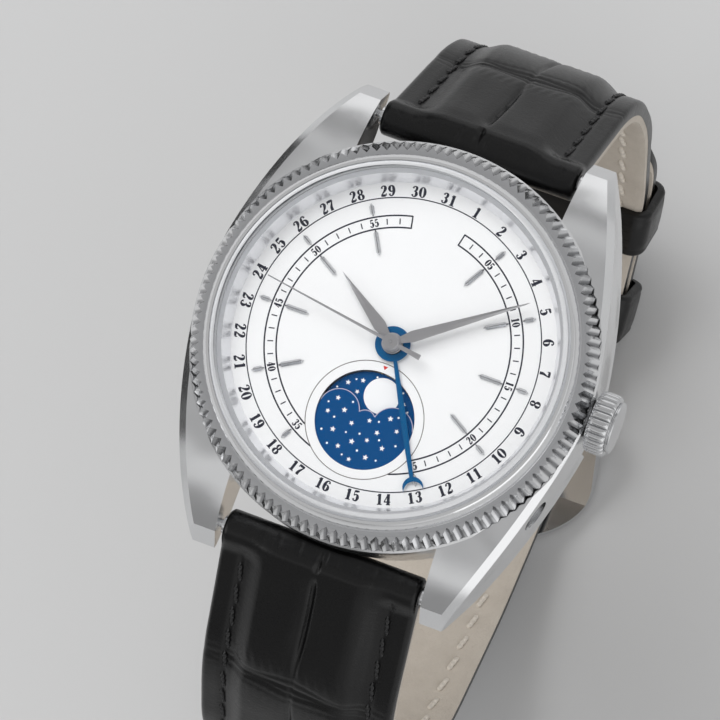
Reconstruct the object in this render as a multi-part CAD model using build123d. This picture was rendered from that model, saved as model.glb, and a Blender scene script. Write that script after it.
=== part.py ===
# Moon phase wristwatch with a centre date hand, on a closed leather strap.
# Millimetres. +Z runs out of the dial, +Y to 12 o'clock, +X to 3 o'clock and the crown.
# The origin is the centre of the case back's flat outer face.

import os
from math import atan2, cos, degrees, pi, radians, sin, sqrt

from build123d import *

# Overruns and clearances shared by the whole watch

cut_overrun = 1.0
running_clearance = 0.04
seat_clearance = 0.02
part_clearance = 0.06

# Case, lugs and bezel

case_radius = 20.0
case_bottom = 0.9
case_top = 8.1
case_edge_chamfer = 0.2
case_floor_inset = 1.3
case_floor_height = 1.6
movement_bore_radius = 17.0
back_thread_radius = 17.2
back_thread_height = 0.85

lug_gap = 21.4
lug_overhang = 3.75
lug_tip_width = 2.3
lug_tip_top = 4.4
lug_tip_bottom = 1.5
lug_face_back = 1.35
lug_tip_round = 0.35
lug_bottom = 0.7
lug_shoulder_back = 7.55
lug_shoulder_drop = 0.55
lug_bend_back = 4.1
lug_bend_drop = 1.85
lug_flank_share = 0.845
lug_flank_reach_share = 0.615
lug_root_angle = 9.0
lug_root_y = 7.0
lug_top_start_y = 1.0
lug_bevel = 0.72
lug_bevel_height = 0.5
lug_hole_depth = 1.3

bezel_setback = 0.1
bezel_flute_count = 120
bezel_flute_depth = 0.2
bezel_top_flute_depth = 0.52
bezel_flute_lean = 0.7
bezel_foot_inset = 0.4
bezel_flute_lift = 0.2
bezel_flute_height = 1.85
bezel_land_step = 0.1
bezel_dome_width = 0.95
bezel_dome_height = 0.95
bezel_dome_share = 0.25
bezel_rim_width = 0.5
bezel_height = 3.6
bezel_bore_inset = 0.3

crystal_inset = 2.75
crystal_thickness = 1.6
crystal_bottom = 11.1
crystal_bevel = 0.5
gasket_wall = 0.2
gasket_foot = 0.1
gasket_foot_width = 0.4

rehaut_clearance = 0.1
rehaut_rim = 0.5
rehaut_slope_width = 0.6
rehaut_top = 10.95

# Case back

back_flange_inset = 0.3
back_spigot_top = 1.7
back_window_radius = 12.4
back_crystal_radius = 13.0
back_crystal_thickness = 1.0
back_notch_count = 6
back_notch_width = 2.0
back_notch_depth = 0.5
back_notch_length = 1.6
back_gasket_inset = 0.45
back_gasket_width = 0.45
back_gasket_height = 0.32

# Dial and moon window

dial_top = 9.0
dial_thickness = 0.4
dial_radius = 16.2
dial_hole_radius = 1.1
dial_foot_radius = 0.4
dial_foot_length = 1.9
dial_foot_circle = 13.6
dial_foot_angles = (62.0, 242.0)
moon_offset = 7.73
moon_window_radius = 4.84
moon_seat_radius = 5.1
moon_seat_height = 0.2
moon_cover_thickness = 0.18
moon_hump_centre_x = 2.75
moon_hump_rise = 0.12
moon_hump_radius = 2.0
moon_bump_radius = 1.02
moon_bump_drop = 0.05
moon_disc_radius = 4.75
moon_disc_thickness = 0.25
moon_disc_top = 8.45
moon_wheel_tip_radius = 4.6
moon_wheel_root_radius = 4.3
moon_wheel_thickness = 0.22
moon_wheel_teeth = 59
moon_post_radius = 0.6

# Applied hour markers: each has an inner and an outer piece beside the minute track

marker_width = 0.46
marker_height = 0.3
marker_point = 0.35
marker_bevel = 0.17
marker_bevel_height = 0.2
marker_outer_start = 12.62
marker_outer_end = 13.95
marker_inner_start = 8.75
marker_inner_end = 11.3
marker_outer_hours = (1, 2, 3, 4, 5, 7, 8, 9, 10, 11)
marker_inner_hours = (1, 2, 3, 4, 8, 9, 10, 11)

# Hands, read from the dial at a quarter past ten less six minutes

hour_angle = 304.8
minute_angle = 54.2
second_angle = 278.6
date_number = 13
date_count = 31

hour_hand_length = 8.5
hour_hand_width = 1.27
hour_hand_thickness = 0.18
hour_hand_bottom = 9.7
hour_hub_radius = 1.02
minute_hand_length = 13.8
minute_hand_width = 1.12
minute_hand_thickness = 0.18
minute_hand_bottom = 10.1
minute_hub_radius = 0.9
second_hand_length = 13.7
second_hand_width = 0.34
second_hand_tip_width = 0.12
second_hand_thickness = 0.12
second_hand_bottom = 10.5
second_hub_radius = 0.84
second_cap_height = 0.4
counterweight_length = 3.2
counterweight_width = 0.55
date_hand_bottom = 9.28
date_hand_thickness = 0.14
date_hub_radius = 1.72
date_hand_width = 0.42
date_hand_tip_width = 0.26
crescent_middle = 14.0
crescent_outer_radius = 1.0
crescent_inner_radius = 0.96
crescent_shift = 0.41
hand_waist_share = 0.2
hand_shoulder_radius = 2.15
hand_point_share = 0.16
hand_bevel = 0.05

# Nested arbors at the centre

second_arbor_radius = 0.16
centre_tube_radius = 0.36
cannon_radius = 0.54
hour_pipe_radius = 0.76
date_pipe_radius = 1.0
pipe_clearance = 0.04

# Movement plates

plate_radius = 15.2
plate_bottom = 5.9
plate_top = 7.2
plate_rim_width = 0.8
bridge_bottom = 3.1
bridge_top = 3.9
bridge_radius = 14.9
bridge_foot_radius = 1.0
bridge_foot_circle = 13.75
bridge_foot_angles = (50.0, 118.0, 165.0, 318.0)
bridge_screw_radius = 0.65
bridge_screw_height = 0.3
bridge_thread_radius = 0.4
balance_gap_radius = 5.35
jewel_radius = 0.62
jewel_hole_radius = 0.16
jewel_height = 0.35
pivot_radius = 0.12
arbor_radius = 0.3
pivot_length = 0.3

holder_inner_radius = 15.3
holder_bottom = 3.15

# Going train: tooth counts, levels and places

wheel_thickness = 0.15
wheel_rim = 0.55
wheel_hub = 0.85
wheel_arms = 5
tooth_tip_share = 0.22
tooth_root_share = 0.46
window_share = 0.8
addendum_share = 0.9
dedendum_share = 1.15

barrel_teeth = 72
centre_pinion_teeth = 12
centre_wheel_teeth = 80
third_pinion_teeth = 10
third_wheel_teeth = 75
fourth_pinion_teeth = 10
fourth_wheel_teeth = 80
escape_pinion_teeth = 8
escape_teeth = 20

barrel_distance = 7.14
barrel_direction = 80.0
third_distance = 4.8
third_direction = -20.0
escape_distance = 4.8
escape_direction = 250.0

barrel_bottom = 4.75
barrel_height = 0.62
barrel_wall = 0.25
barrel_tooth_height = 0.2
barrel_arbor_radius = 1.0
barrel_pivot_radius = 0.6
mainspring_gap = 0.2
centre_wheel_bottom = 5.5
centre_pinion_bottom = 4.7
third_wheel_bottom = 4.45
fourth_wheel_bottom = 4.2
fourth_pinion_height = 0.22
escape_wheel_bottom = 4.7
escape_wheel_radius = 2.0
escape_tooth_depth = 0.55

lever_direction = 215.0
pallet_distance = 2.42
pallet_thickness = 0.14
pallet_arm_width = 0.34
pallet_span = 1.5
pallet_stone_width = 0.22
pallet_stone_length = 0.5
pallet_fork_length = 2.35
pallet_arbor_bottom = 4.65
balance_distance = 3.25
balance_radius = 4.6
balance_rim = 0.5
balance_bottom = 4.2
balance_thickness = 0.35
balance_arm_width = 0.5
balance_screw_radius = 0.22
balance_screw_height = 0.12
balance_screw_count = 8
roller_radius = 0.75
roller_bottom = 4.62
roller_thickness = 0.16
roller_jewel_radius = 0.09
roller_jewel_height = 0.24
hairspring_bottom = 4.0
hairspring_height = 0.12
hairspring_width = 0.06
hairspring_inner_radius = 0.75
hairspring_pitch = 0.26
hairspring_turns = 8
hairspring_steps = 16
cock_width = 3.4
cock_foot_radius = 1.1
cock_foot_distance = 6.6
cock_foot_direction = 300.0
cock_bottom = 3.3

# Winding work

ratchet_teeth = 46
ratchet_bottom = 2.72
ratchet_thickness = 0.26
crown_wheel_x = 9.6
crown_wheel_y = 3.0
crown_wheel_lower_radius = 3.3
crown_wheel_lower_bottom = 4.15
crown_wheel_teeth = 38
crown_wheel_hub_radius = 0.8
winding_tooth_depth = 0.34
click_angle = 128.0
click_arm_length = 2.4
click_width = 0.6
click_hub_radius = 0.8
click_gap = 0.12

stem_height = 6.0
stem_radius = 0.45
stem_square = 0.62
stem_inner_end = 5.6
stem_pivot_start = 10.4
stem_groove_x = 12.6
stem_groove_length = 0.5
stem_groove_radius = 0.3
clutch_start = 8.5
clutch_length = 1.6
clutch_radius = 1.3
clutch_teeth = 14
winding_pinion_start = 10.55
winding_pinion_length = 1.5
winding_pinion_radius = 1.48
winding_pinion_teeth = 14
winding_pocket_clearance = 0.25
setting_lever_y = 2.3
setting_lever_radius = 0.7
setting_lever_width = 0.6
setting_lever_thickness = 0.25
setting_lever_pin_radius = 0.2
setting_lever_post_radius = 0.25
setting_lever_travel = 1.1

# Crown, its tube and seal

crown_radius = 3.08
crown_gap = 0.2
crown_length = 2.1
crown_flute_count = 30
crown_flute_radius = 0.24
crown_flute_circle = 3.06
crown_flute_share = 0.84
crown_belly_start = 0.34
crown_belly_end = 0.66
crown_foot_radius = 2.86
crown_foot_bevel = 0.12
crown_end_radius = 2.92
crown_end_round = 0.2
crown_neck_radius = 2.4
crown_neck_length = 0.08
crown_cap_radius = 2.57
crown_cap_height = 0.3
crown_cap_bevel = 0.1
crown_cap_dome = 0.08
crown_grip = 0.6
crown_bore_radius = 1.95
crown_bore_depth = 1.45
crown_tube_radius = 1.35
crown_tube_bore = 0.7
crown_tube_inset = 0.3
crown_tube_reach = 1.2
crown_gasket_radius = 1.88
crown_gasket_length = 0.5
crown_gasket_back = 0.3

# Moon corrector, a sprung button at 4 o'clock

corrector_angle = -30.0
corrector_height = 5.2
corrector_recess_radius = 1.6
corrector_recess_depth = 0.9
corrector_radius = 1.2
corrector_head_length = 1.15
corrector_head_inset = 1.25
corrector_dome = 0.3
corrector_stem_radius = 0.5
corrector_stem_reach = 0.9
corrector_spring_radius = 0.85
corrector_spring_wire = 0.1
corrector_spring_turns = 4
corrector_spring_inset = 0.35

# Rotor and its bearing

rotor_radius = 14.6
rotor_rim_inner = 12.6
rotor_bottom = 1.95
rotor_plate_thickness = 0.25
rotor_rim_height = 0.65
rotor_hub_radius = 2.3
rotor_arm_gap = 4.2
rotor_arm_width = 3.0
bearing_bore = 0.9
bearing_race = 0.45
bearing_ball_radius = 0.3
bearing_ball_circle = 1.75
bearing_ball_count = 8
bearing_outer_radius = 2.25
bearing_height = 0.62

# Motion work and calendar under the dial

cannon_teeth = 12
minute_wheel_teeth = 36
minute_pinion_teeth = 10
hour_wheel_teeth = 40
calendar_wheel_teeth = 80
minute_wheel_distance = 3.36
minute_wheel_direction = 60.0
minute_wheel_bottom = 7.3
hour_wheel_bottom = 7.75
cannon_tooth_height = 0.3
hour_tooth_height = 0.18
calendar_direction = 180.0
calendar_finger_width = 0.5
calendar_finger_thickness = 0.09
calendar_finger_gap = 0.25
moon_finger_angle = 100.0
date_finger_angle = 200.0
date_wheel_bottom = 8.14
date_wheel_radius = 3.0
date_wheel_root = 2.6
date_wheel_thickness = 0.16
post_radius = 0.3

# Spring bars and strap

spring_bar_back = 2.45
spring_bar_z = 2.6
spring_bar_radius = 0.9
spring_bar_tip_radius = 0.4
spring_bar_tip_length = 1.1
spring_bar_collar = 0.25

strap_width = 20.2
strap_buckle_width = 18.0
strap_roll_radius = 1.8
strap_loop_clearance = 0.06
case_scoop_clearance = 0.3
leather_mid_thickness = 2.3
leather_tail_thickness = 1.5
lining_lug_thickness = 0.95
lining_tail_thickness = 0.7
layer_gap = 0.3
strap_thick_corners = 3

floor_height = -56.2
loop_overhang_12 = 9.05
loop_overhang_6 = 15.05
buckle_bar_y = 4.5
buckle_pass_y = 8.5
buckle_pass_height = 3.8

# Corners of the strap's route: shares of the loop's reach and of its depth below the bars

upper_route_shares = ((1.0, 0.312), (0.991, 0.54), (0.829, 0.814), (0.473, 1.0))
upper_bend_radii = (20.0, 25.0, 16.0, 12.0)
lower_route_shares = ((0.838, 0.184), (1.0, 0.394), (0.992, 0.613), (0.786, 0.841), (0.438, 0.965))
lower_bend_radii = (25.0, 18.0, 18.0, 18.0, 25.0)
buckle_bend_radii = (30.0, 10.0)

buckle_bar_radius = 0.7
buckle_loop_radius = 1.55
buckle_half_width = 12.6
buckle_inner_half_width = 9.65
buckle_rim_centre_y = -1.2
buckle_rim_reach = 8.6
buckle_rim_inner_reach = 6.2
buckle_end_y = 6.3
buckle_end_half_width = 11.6
buckle_rim_height = 2.2
buckle_rim_thin_height = 1.0
buckle_arm_start_y = -2.8
buckle_arm_foot_y = 0.5
buckle_arm_top = 1.2
buckle_arm_drop = 1.2
tang_width = 1.8
tang_thickness = 0.95
tang_eye_radius = 1.25
tang_bend_y = -1.0
tang_bend_drop = 0.8
tang_slot_start_y = 1.4
tang_slot_end_y = -6.8
tang_slot_width = 2.3
tang_tip_overhang = 0.4
tang_notch_clearance = 0.08

keeper_width = 5.4
keeper_wall = 0.9
keeper_clearance = 0.32
loose_keeper_share = 0.685
fixed_keeper_share = 0.835
tail_end_share = 0.6

spare_hole_count = 4
spare_hole_pitch = 6.0
spare_hole_radius = 0.85

# Places worked out from the sizes above

dial_bottom = dial_top - dial_thickness
lug_inner_x = lug_gap / 2
lug_reach = case_radius + lug_overhang
lug_shoulder_y = lug_reach - lug_shoulder_back
lug_bend_y = lug_reach - lug_bend_back
lug_face_y = lug_reach - lug_face_back
lug_flank_x = case_radius * lug_flank_share
lug_flank_y = lug_reach * lug_flank_reach_share
spring_bar_y = lug_reach - spring_bar_back
loop_reach_12 = lug_reach + loop_overhang_12
loop_reach_6 = lug_reach + loop_overhang_6
crystal_radius = case_radius - crystal_inset
bezel_bore_radius = crystal_radius - bezel_bore_inset
rehaut_outer_radius = bezel_bore_radius - rehaut_clearance
rehaut_top_radius = rehaut_outer_radius - rehaut_rim
rehaut_foot_radius = rehaut_top_radius - rehaut_slope_width
case_floor_radius = case_radius - case_floor_inset
back_flange_radius = case_floor_radius - back_flange_inset
back_gasket_radius = back_flange_radius - back_gasket_inset
bezel_radius = case_radius - bezel_setback
bezel_root_radius = bezel_radius - bezel_flute_depth
bezel_foot_radius = bezel_radius - bezel_foot_inset
bezel_crest_top_radius = bezel_radius - bezel_flute_lean
bezel_root_top_radius = bezel_crest_top_radius - bezel_top_flute_depth
bezel_dome_radius = crystal_radius + bezel_dome_width
bezel_rim_radius = crystal_radius + bezel_rim_width
bezel_flute_bottom = case_top + bezel_flute_lift
bezel_flute_top = bezel_flute_bottom + bezel_flute_height
bezel_land_height = bezel_flute_top + bezel_land_step
bezel_rim_height = case_top + bezel_height
crown_start = case_radius + crown_gap
crown_tube_start = movement_bore_radius + crown_tube_inset
crown_tube_end = crown_start + crown_tube_reach
crown_gasket_start = crown_start + crown_gasket_back
corrector_head_start = case_radius - corrector_head_inset
corrector_stem_start = movement_bore_radius - corrector_stem_reach
corrector_spring_start = movement_bore_radius + corrector_spring_inset
moon_centre = (0.0, -moon_offset)
barrel_centre = (
    barrel_distance * cos(radians(barrel_direction)),
    barrel_distance * sin(radians(barrel_direction)),
)
third_centre = (
    third_distance * cos(radians(third_direction)),
    third_distance * sin(radians(third_direction)),
)
escape_centre = (
    escape_distance * cos(radians(escape_direction)),
    escape_distance * sin(radians(escape_direction)),
)
lever_step = (cos(radians(lever_direction)), sin(radians(lever_direction)))
pallet_centre = (
    escape_centre[0] + pallet_distance * lever_step[0],
    escape_centre[1] + pallet_distance * lever_step[1],
)
balance_centre = (
    pallet_centre[0] + balance_distance * lever_step[0],
    pallet_centre[1] + balance_distance * lever_step[1],
)
crown_wheel_centre = (crown_wheel_x, crown_wheel_y)
minute_wheel_centre = (
    minute_wheel_distance * cos(radians(minute_wheel_direction)),
    minute_wheel_distance * sin(radians(minute_wheel_direction)),
)


# Small building blocks


def disc(radius, bottom, height):
    """Round plate about the dial axis."""
    return Pos(0, 0, bottom) * extrude(Circle(radius), height)


def ring(outer, inner, bottom, height):
    """Flat ring about the dial axis."""
    return Pos(0, 0, bottom) * extrude(Circle(outer) - Circle(inner), height)


def turned(points):
    """Solid of revolution about the dial axis from (radius, height) points."""
    return revolve(Plane.XZ * make_face(Polyline(*points, close=True)), Axis.Z)


def at(place, shape):
    """Moves a shape made about the dial axis to a place on the dial plan."""
    return Pos(place[0], place[1], 0) * shape


def along(angle, shape):
    """Turns a shape made along +X about the dial axis."""
    return Rot(0, 0, angle) * shape


def shaft(radius, start, length, height, bore=0):
    """Cylinder along +X at a height over the origin."""
    section = Circle(radius) - Circle(bore) if bore else Circle(radius)
    return Pos(start, 0, height) * (Plane.YZ * extrude(section, length))


def tooth_points(teeth, tip, root, phase):
    """Corners of a toothed outline: one tooth is centred on the phase angle."""
    points = []
    pitch = 360 / teeth
    half_tip = pitch * tooth_tip_share / 2
    half_root = pitch * tooth_root_share / 2
    for index in range(teeth):
        centre = phase + index * pitch
        for offset, radius in ((-half_root, root), (-half_tip, tip), (half_tip, tip), (half_root, root)):
            angle = radians(centre + offset)
            points.append((radius * cos(angle), radius * sin(angle)))
    return points


def toothed(teeth, tip, root, phase, bottom, height):
    """Toothed plate about the dial axis."""
    outline = make_face(Polyline(*tooth_points(teeth, tip, root, phase), close=True))
    return Pos(0, 0, bottom) * extrude(outline, height)


def pitch_radius(distance, own, other):
    """Pitch radius of a wheel with its own teeth that meshes with another."""
    return distance * own / (own + other)


def gear(distance, own, other, phase, bottom, height):
    """Toothed plate sized to mesh at a centre distance."""
    pitch = pitch_radius(distance, own, other)
    module = 2 * pitch / own
    tip = pitch + addendum_share * module
    root = pitch - dedendum_share * module
    return toothed(own, tip, root, phase, bottom, height)


def mesh_phase(direction, phase, own, other):
    """Phase of a wheel that meshes, in a direction, with one of a known phase."""
    return direction + 180 - ((phase - direction) * own + 180) / other


def crossings(radius, bottom, height):
    """Round windows between a wheel's hub and rim."""
    middle = (radius - wheel_rim + wheel_hub) / 2
    window = min((radius - wheel_rim - wheel_hub) / 2, middle * sin(pi / wheel_arms) * window_share)
    holes = Part()
    for index in range(wheel_arms):
        holes += along(360 * index / wheel_arms, Pos(middle, 0, bottom) * extrude(Circle(window), height))
    return holes


def crossed_gear(distance, own, other, phase, bottom, height):
    """Gear with its web cut out to arms."""
    root = pitch_radius(distance, own, other) * (1 - 2 * dedendum_share / own)
    return gear(distance, own, other, phase, bottom, height) - crossings(
        root, bottom - cut_overrun, height + 2 * cut_overrun
    )


def arbor(radius, bottom, top):
    """Shaft between the plates with a thin pivot at each end."""
    body = disc(radius, bottom, top - bottom)
    return body + disc(pivot_radius, bottom - pivot_length, top - bottom + 2 * pivot_length)


# Case


def lug_plan():
    """Outline of the lug at 1 o'clock, seen from the dial."""
    root = radians(lug_root_angle)
    start = (case_radius * cos(root), case_radius * sin(root))
    tip_outer = (lug_inner_x + lug_tip_width, lug_reach)
    tip_inner = (lug_inner_x, lug_reach)
    heel = (lug_inner_x, lug_root_y)
    outline = ThreePointArc(start, (lug_flank_x, lug_flank_y), tip_outer)
    outline += Line(tip_outer, tip_inner) + Line(tip_inner, heel) + Line(heel, start)
    return make_face(outline)


def lug_side():
    """Side outline of a lug: its top curves down to a steep end face."""
    top = Spline(
        (lug_top_start_y, case_top),
        (lug_shoulder_y, case_top - lug_shoulder_drop),
        (lug_bend_y, case_top - lug_bend_drop),
        (lug_face_y, lug_tip_top),
    )
    outline = top + Polyline(
        (lug_face_y, lug_tip_top),
        (lug_reach, lug_tip_bottom + lug_tip_round),
        (lug_reach - lug_tip_round, lug_tip_bottom),
        (lug_bend_y, lug_bottom),
        (lug_top_start_y, lug_bottom),
        (lug_top_start_y, case_top),
    )
    return make_face(outline)


def lug():
    """Lug at 1 o'clock with its bevelled outer edge."""
    blank = extrude(lug_plan(), case_top + cut_overrun)
    side = extrude(Plane.YZ * lug_side(), case_radius + lug_reach)
    body = blank & side
    outer = body.faces().filter_by(GeomType.CYLINDER).sort_by(Axis.X)[-1]
    edge = outer.edges().sort_by(Axis.Z)[-1]
    return chamfer(edge, lug_bevel_height, lug_bevel)


def lugs():
    """The four lugs, mirrored from one."""
    right = lug() + mirror(lug(), about=Plane.XZ)
    return right + mirror(right, about=Plane.YZ)


def lug_holes():
    """Blind holes for the spring bar tips."""
    holes = Part()
    depth = lug_gap / 2 + lug_hole_depth
    for side in (-1, 1):
        hole = Plane.YZ * extrude(Circle(spring_bar_tip_radius + part_clearance), depth, both=True)
        holes += Pos(0, side * spring_bar_y, spring_bar_z) * hole
    return holes


def strap_scoops():
    """Hollows in the case flank that clear the ends of the strap."""
    scoops = Part()
    for side in (-1, 1):
        scoop = Plane.YZ * extrude(Circle(strap_roll_radius + case_scoop_clearance), lug_gap / 2, both=True)
        scoops += Pos(0, side * spring_bar_y, spring_bar_z) * scoop
    return scoops


def corrector_cuts():
    """Stepped hole for the corrector: recess, spring chamber and stem bore."""
    recess = shaft(
        corrector_recess_radius, case_radius - corrector_recess_depth, lug_reach, corrector_height
    )
    chamber = shaft(
        corrector_radius + running_clearance, corrector_spring_start - part_clearance, lug_reach,
        corrector_height,
    )
    bore = shaft(corrector_stem_radius + running_clearance, holder_inner_radius, lug_reach, corrector_height)
    return along(corrector_angle, recess + chamber + bore)


def mid_case():
    """Case band with lugs, bored for the movement, tube and corrector."""
    band = turned(
        (
            (0, case_bottom),
            (case_floor_radius, case_bottom),
            (case_radius, case_bottom + case_floor_height),
            (case_radius, case_top - case_edge_chamfer),
            (case_radius - case_edge_chamfer, case_top),
            (0, case_top),
        )
    )
    body = band + lugs()
    body -= disc(movement_bore_radius, case_bottom - cut_overrun, case_top + 2 * cut_overrun)
    body -= disc(
        back_thread_radius + part_clearance, case_bottom - cut_overrun, back_thread_height + cut_overrun
    )
    body -= disc(back_flange_radius + part_clearance, 0, case_bottom)
    body -= disc(bezel_radius + part_clearance, case_top, case_top)
    body -= strap_scoops() + lug_holes()
    body -= shaft(crown_tube_radius, case_radius / 2, case_radius, stem_height)
    body -= corrector_cuts()
    return body


def star_face(crest, root, height):
    """Fluted outline of the bezel at one height."""
    points = []
    for index in range(bezel_flute_count):
        for step, radius in ((0, crest), (1, root)):
            angle = radians((2 * index + step) * 180 / bezel_flute_count)
            points.append((radius * cos(angle), radius * sin(angle)))
    return Pos(0, 0, height) * make_face(Polyline(*points, close=True))


def bezel():
    """Fluted bezel: a band of V flutes below a flat land and a domed rim."""
    flutes = loft(
        [
            star_face(bezel_radius, bezel_root_radius, bezel_flute_bottom),
            star_face(bezel_crest_top_radius, bezel_root_top_radius, bezel_flute_top),
        ],
        ruled=True,
    )
    foot = disc(bezel_foot_radius, case_top, bezel_flute_bottom - case_top)
    rim_inner = (crystal_radius + gasket_wall + seat_clearance, bezel_rim_height)
    dome = turned_dome(rim_inner)
    body = flutes + foot + dome
    body -= disc(bezel_bore_radius, case_top - cut_overrun, bezel_rim_height)
    seat = crystal_radius + gasket_wall + seat_clearance
    return body - disc(seat, crystal_bottom - gasket_foot, bezel_rim_height)


def turned_dome(rim_inner):
    """Land and rounded rim of the bezel."""
    land = (bezel_root_top_radius, bezel_land_height)
    foot = (bezel_dome_radius, bezel_land_height)
    crest = (bezel_rim_radius, bezel_rim_height)
    bulge = (
        bezel_dome_radius - (bezel_dome_radius - bezel_rim_radius) * bezel_dome_share,
        bezel_land_height + bezel_dome_height,
    )
    outline = ThreePointArc(foot, bulge, crest)
    outline += Polyline(
        crest,
        rim_inner,
        (rim_inner[0], bezel_flute_top - bezel_dome_height),
        (bezel_root_top_radius, bezel_flute_top - bezel_dome_height),
        land,
        foot,
    )
    return revolve(Plane.XZ * make_face(outline), Axis.Z)


def crystal():
    """Sapphire crystal with a bevelled top edge."""
    top = crystal_bottom + crystal_thickness
    return turned(
        (
            (0, crystal_bottom),
            (crystal_radius, crystal_bottom),
            (crystal_radius, top - crystal_bevel),
            (crystal_radius - crystal_bevel, top),
            (0, top),
        )
    )


def crystal_gasket():
    """Seal around the crystal's edge with a foot under it."""
    outer = crystal_radius + gasket_wall
    wall = ring(outer, crystal_radius, crystal_bottom, bezel_rim_height - crystal_bottom - gasket_foot)
    foot = ring(
        outer, crystal_radius - gasket_foot_width + gasket_wall, crystal_bottom - gasket_foot, gasket_foot
    )
    return wall + foot


def rehaut():
    """Sloping flange between the dial and the crystal."""
    return turned(
        (
            (rehaut_foot_radius, dial_top),
            (rehaut_outer_radius, dial_top),
            (rehaut_outer_radius, rehaut_top),
            (rehaut_top_radius, rehaut_top),
        )
    )


def case_back():
    """Screwed back ring with wrench notches and a window."""
    body = disc(back_flange_radius, 0, case_bottom)
    body += disc(back_thread_radius, case_bottom, back_spigot_top - case_bottom)
    body -= disc(back_window_radius, -cut_overrun, back_spigot_top + 2 * cut_overrun)
    body -= disc(back_crystal_radius + seat_clearance, -cut_overrun, cut_overrun + back_crystal_thickness)
    gasket_room = back_gasket_width / 2 + seat_clearance
    body -= ring(
        back_gasket_radius + gasket_room,
        back_gasket_radius - gasket_room,
        case_bottom - back_gasket_height,
        back_gasket_height,
    )
    for index in range(back_notch_count):
        notch = Box(back_notch_length, back_notch_width, back_notch_depth)
        place = Pos(back_flange_radius - back_notch_length / 2, 0, back_notch_depth / 2)
        body -= along(360 * (index + 0.5) / back_notch_count, place * notch)
    return body


def back_crystal():
    """Window of the case back."""
    return disc(back_crystal_radius, 0, back_crystal_thickness)


def case_back_gasket():
    """Flat seal between the case back and the case."""
    outer = back_gasket_radius + back_gasket_width / 2
    return ring(outer, outer - back_gasket_width, case_bottom - back_gasket_height, back_gasket_height)


# Crown, corrector and spring bars


def crown_blank():
    """Barrel-shaped body of the crown, turned about its own axis."""
    end = crown_length - crown_end_round
    outline = Polyline(
        (0, 0),
        (0, crown_foot_radius - crown_foot_bevel),
        (crown_foot_bevel, crown_foot_radius),
        (crown_length * crown_belly_start, crown_radius),
        (crown_length * crown_belly_end, crown_radius),
        (end, crown_end_radius),
        (crown_length, crown_end_radius - crown_end_round),
        (crown_length, 0),
        (0, 0),
    )
    return revolve(Plane.XZ * make_face(outline), Axis.X)


def crown_flutes():
    """Round grooves of the crown, closed before its outer end."""
    flutes = []
    for index in range(crown_flute_count):
        angle = radians(360 * index / crown_flute_count)
        spot = Pos(0, crown_flute_circle * cos(angle), crown_flute_circle * sin(angle))
        groove = Plane.YZ * extrude(
            Circle(crown_flute_radius), crown_length * crown_flute_share + cut_overrun
        )
        flutes.append(spot * Pos(-cut_overrun, 0, 0) * groove)
    return flutes


def crown_cap():
    """Plain raised cap of the crown on a narrow neck, with a low dome."""
    edge = crown_neck_length + crown_cap_height
    outline = Polyline(
        (0, 0),
        (0, crown_neck_radius),
        (crown_neck_length, crown_neck_radius),
        (crown_neck_length, crown_cap_radius),
        (edge - crown_cap_bevel, crown_cap_radius),
        (edge, crown_cap_radius - crown_cap_bevel),
        (edge + crown_cap_dome, 0),
        (0, 0),
    )
    return Pos(crown_length, 0, 0) * revolve(Plane.XZ * make_face(outline), Axis.X)


def crown():
    """Fluted crown with a raised plain cap and a chamber for the tube."""
    body = crown_blank()
    for flute in crown_flutes():
        body -= flute
    body = Pos(crown_start, 0, stem_height) * (body + crown_cap())
    body -= shaft(crown_bore_radius, crown_start - cut_overrun, crown_bore_depth + cut_overrun, stem_height)
    return body - shaft(stem_radius, crown_start, crown_bore_depth + crown_grip, stem_height)


def crown_tube():
    """Tube pressed in the case, which the crown slides over."""
    return shaft(
        crown_tube_radius, crown_tube_start, crown_tube_end - crown_tube_start, stem_height, crown_tube_bore
    )


def crown_gasket():
    """Seal ring that slides on the tube with the crown."""
    bore = crown_tube_radius + running_clearance
    return shaft(crown_gasket_radius, crown_gasket_start, crown_gasket_length, stem_height, bore)


def stem():
    """Winding stem: square under the clutch, grooved for the setting lever."""
    crown_end = crown_start + crown_bore_depth + crown_grip
    groove_end = stem_groove_x + stem_groove_length
    outer = shaft(stem_radius, groove_end, crown_end - groove_end, stem_height)
    groove = shaft(stem_groove_radius, stem_groove_x, stem_groove_length, stem_height)
    bearing = shaft(stem_radius, stem_pivot_start, stem_groove_x - stem_pivot_start, stem_height)
    square = Pos(stem_inner_end, 0, stem_height) * (
        Plane.YZ * extrude(Rectangle(stem_square, stem_square), stem_pivot_start - stem_inner_end)
    )
    return outer + groove + bearing + square


def moon_corrector():
    """Recessed round button with a domed head and a thin stem."""
    end = corrector_head_start + corrector_head_length
    head = shaft(corrector_radius, corrector_head_start, corrector_head_length, corrector_height)
    head = chamfer(head.edges().group_by(Axis.X)[-1], corrector_dome)
    length = end - corrector_stem_start - corrector_dome
    pin = shaft(corrector_stem_radius, corrector_stem_start, length, corrector_height)
    return along(corrector_angle, head + pin)


def corrector_spring():
    """Return spring of the corrector, wound round its stem."""
    room = corrector_head_start - corrector_spring_start - 2 * corrector_spring_wire - part_clearance
    helix = Helix(room / corrector_spring_turns, room, corrector_spring_radius)
    section = Plane(helix @ 0, z_dir=helix % 0) * Circle(corrector_spring_wire)
    coil = sweep(section, path=helix)
    lying = Rot(0, 90, 0) * coil
    place = Pos(corrector_spring_start + corrector_spring_wire + part_clearance / 2, 0, corrector_height)
    return along(corrector_angle, place * lying)


def spring_bars():
    """The two sprung bars that hold the strap between the lugs."""
    bars = []
    half = lug_gap / 2 - spring_bar_collar
    tip = half + spring_bar_tip_length
    for side in (-1, 1):
        bar = Plane.YZ * extrude(Circle(spring_bar_radius), half, both=True)
        bar += Plane.YZ * extrude(Circle(spring_bar_tip_radius), tip, both=True)
        bars.append(Pos(0, side * spring_bar_y, spring_bar_z) * bar)
    return bars


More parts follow.
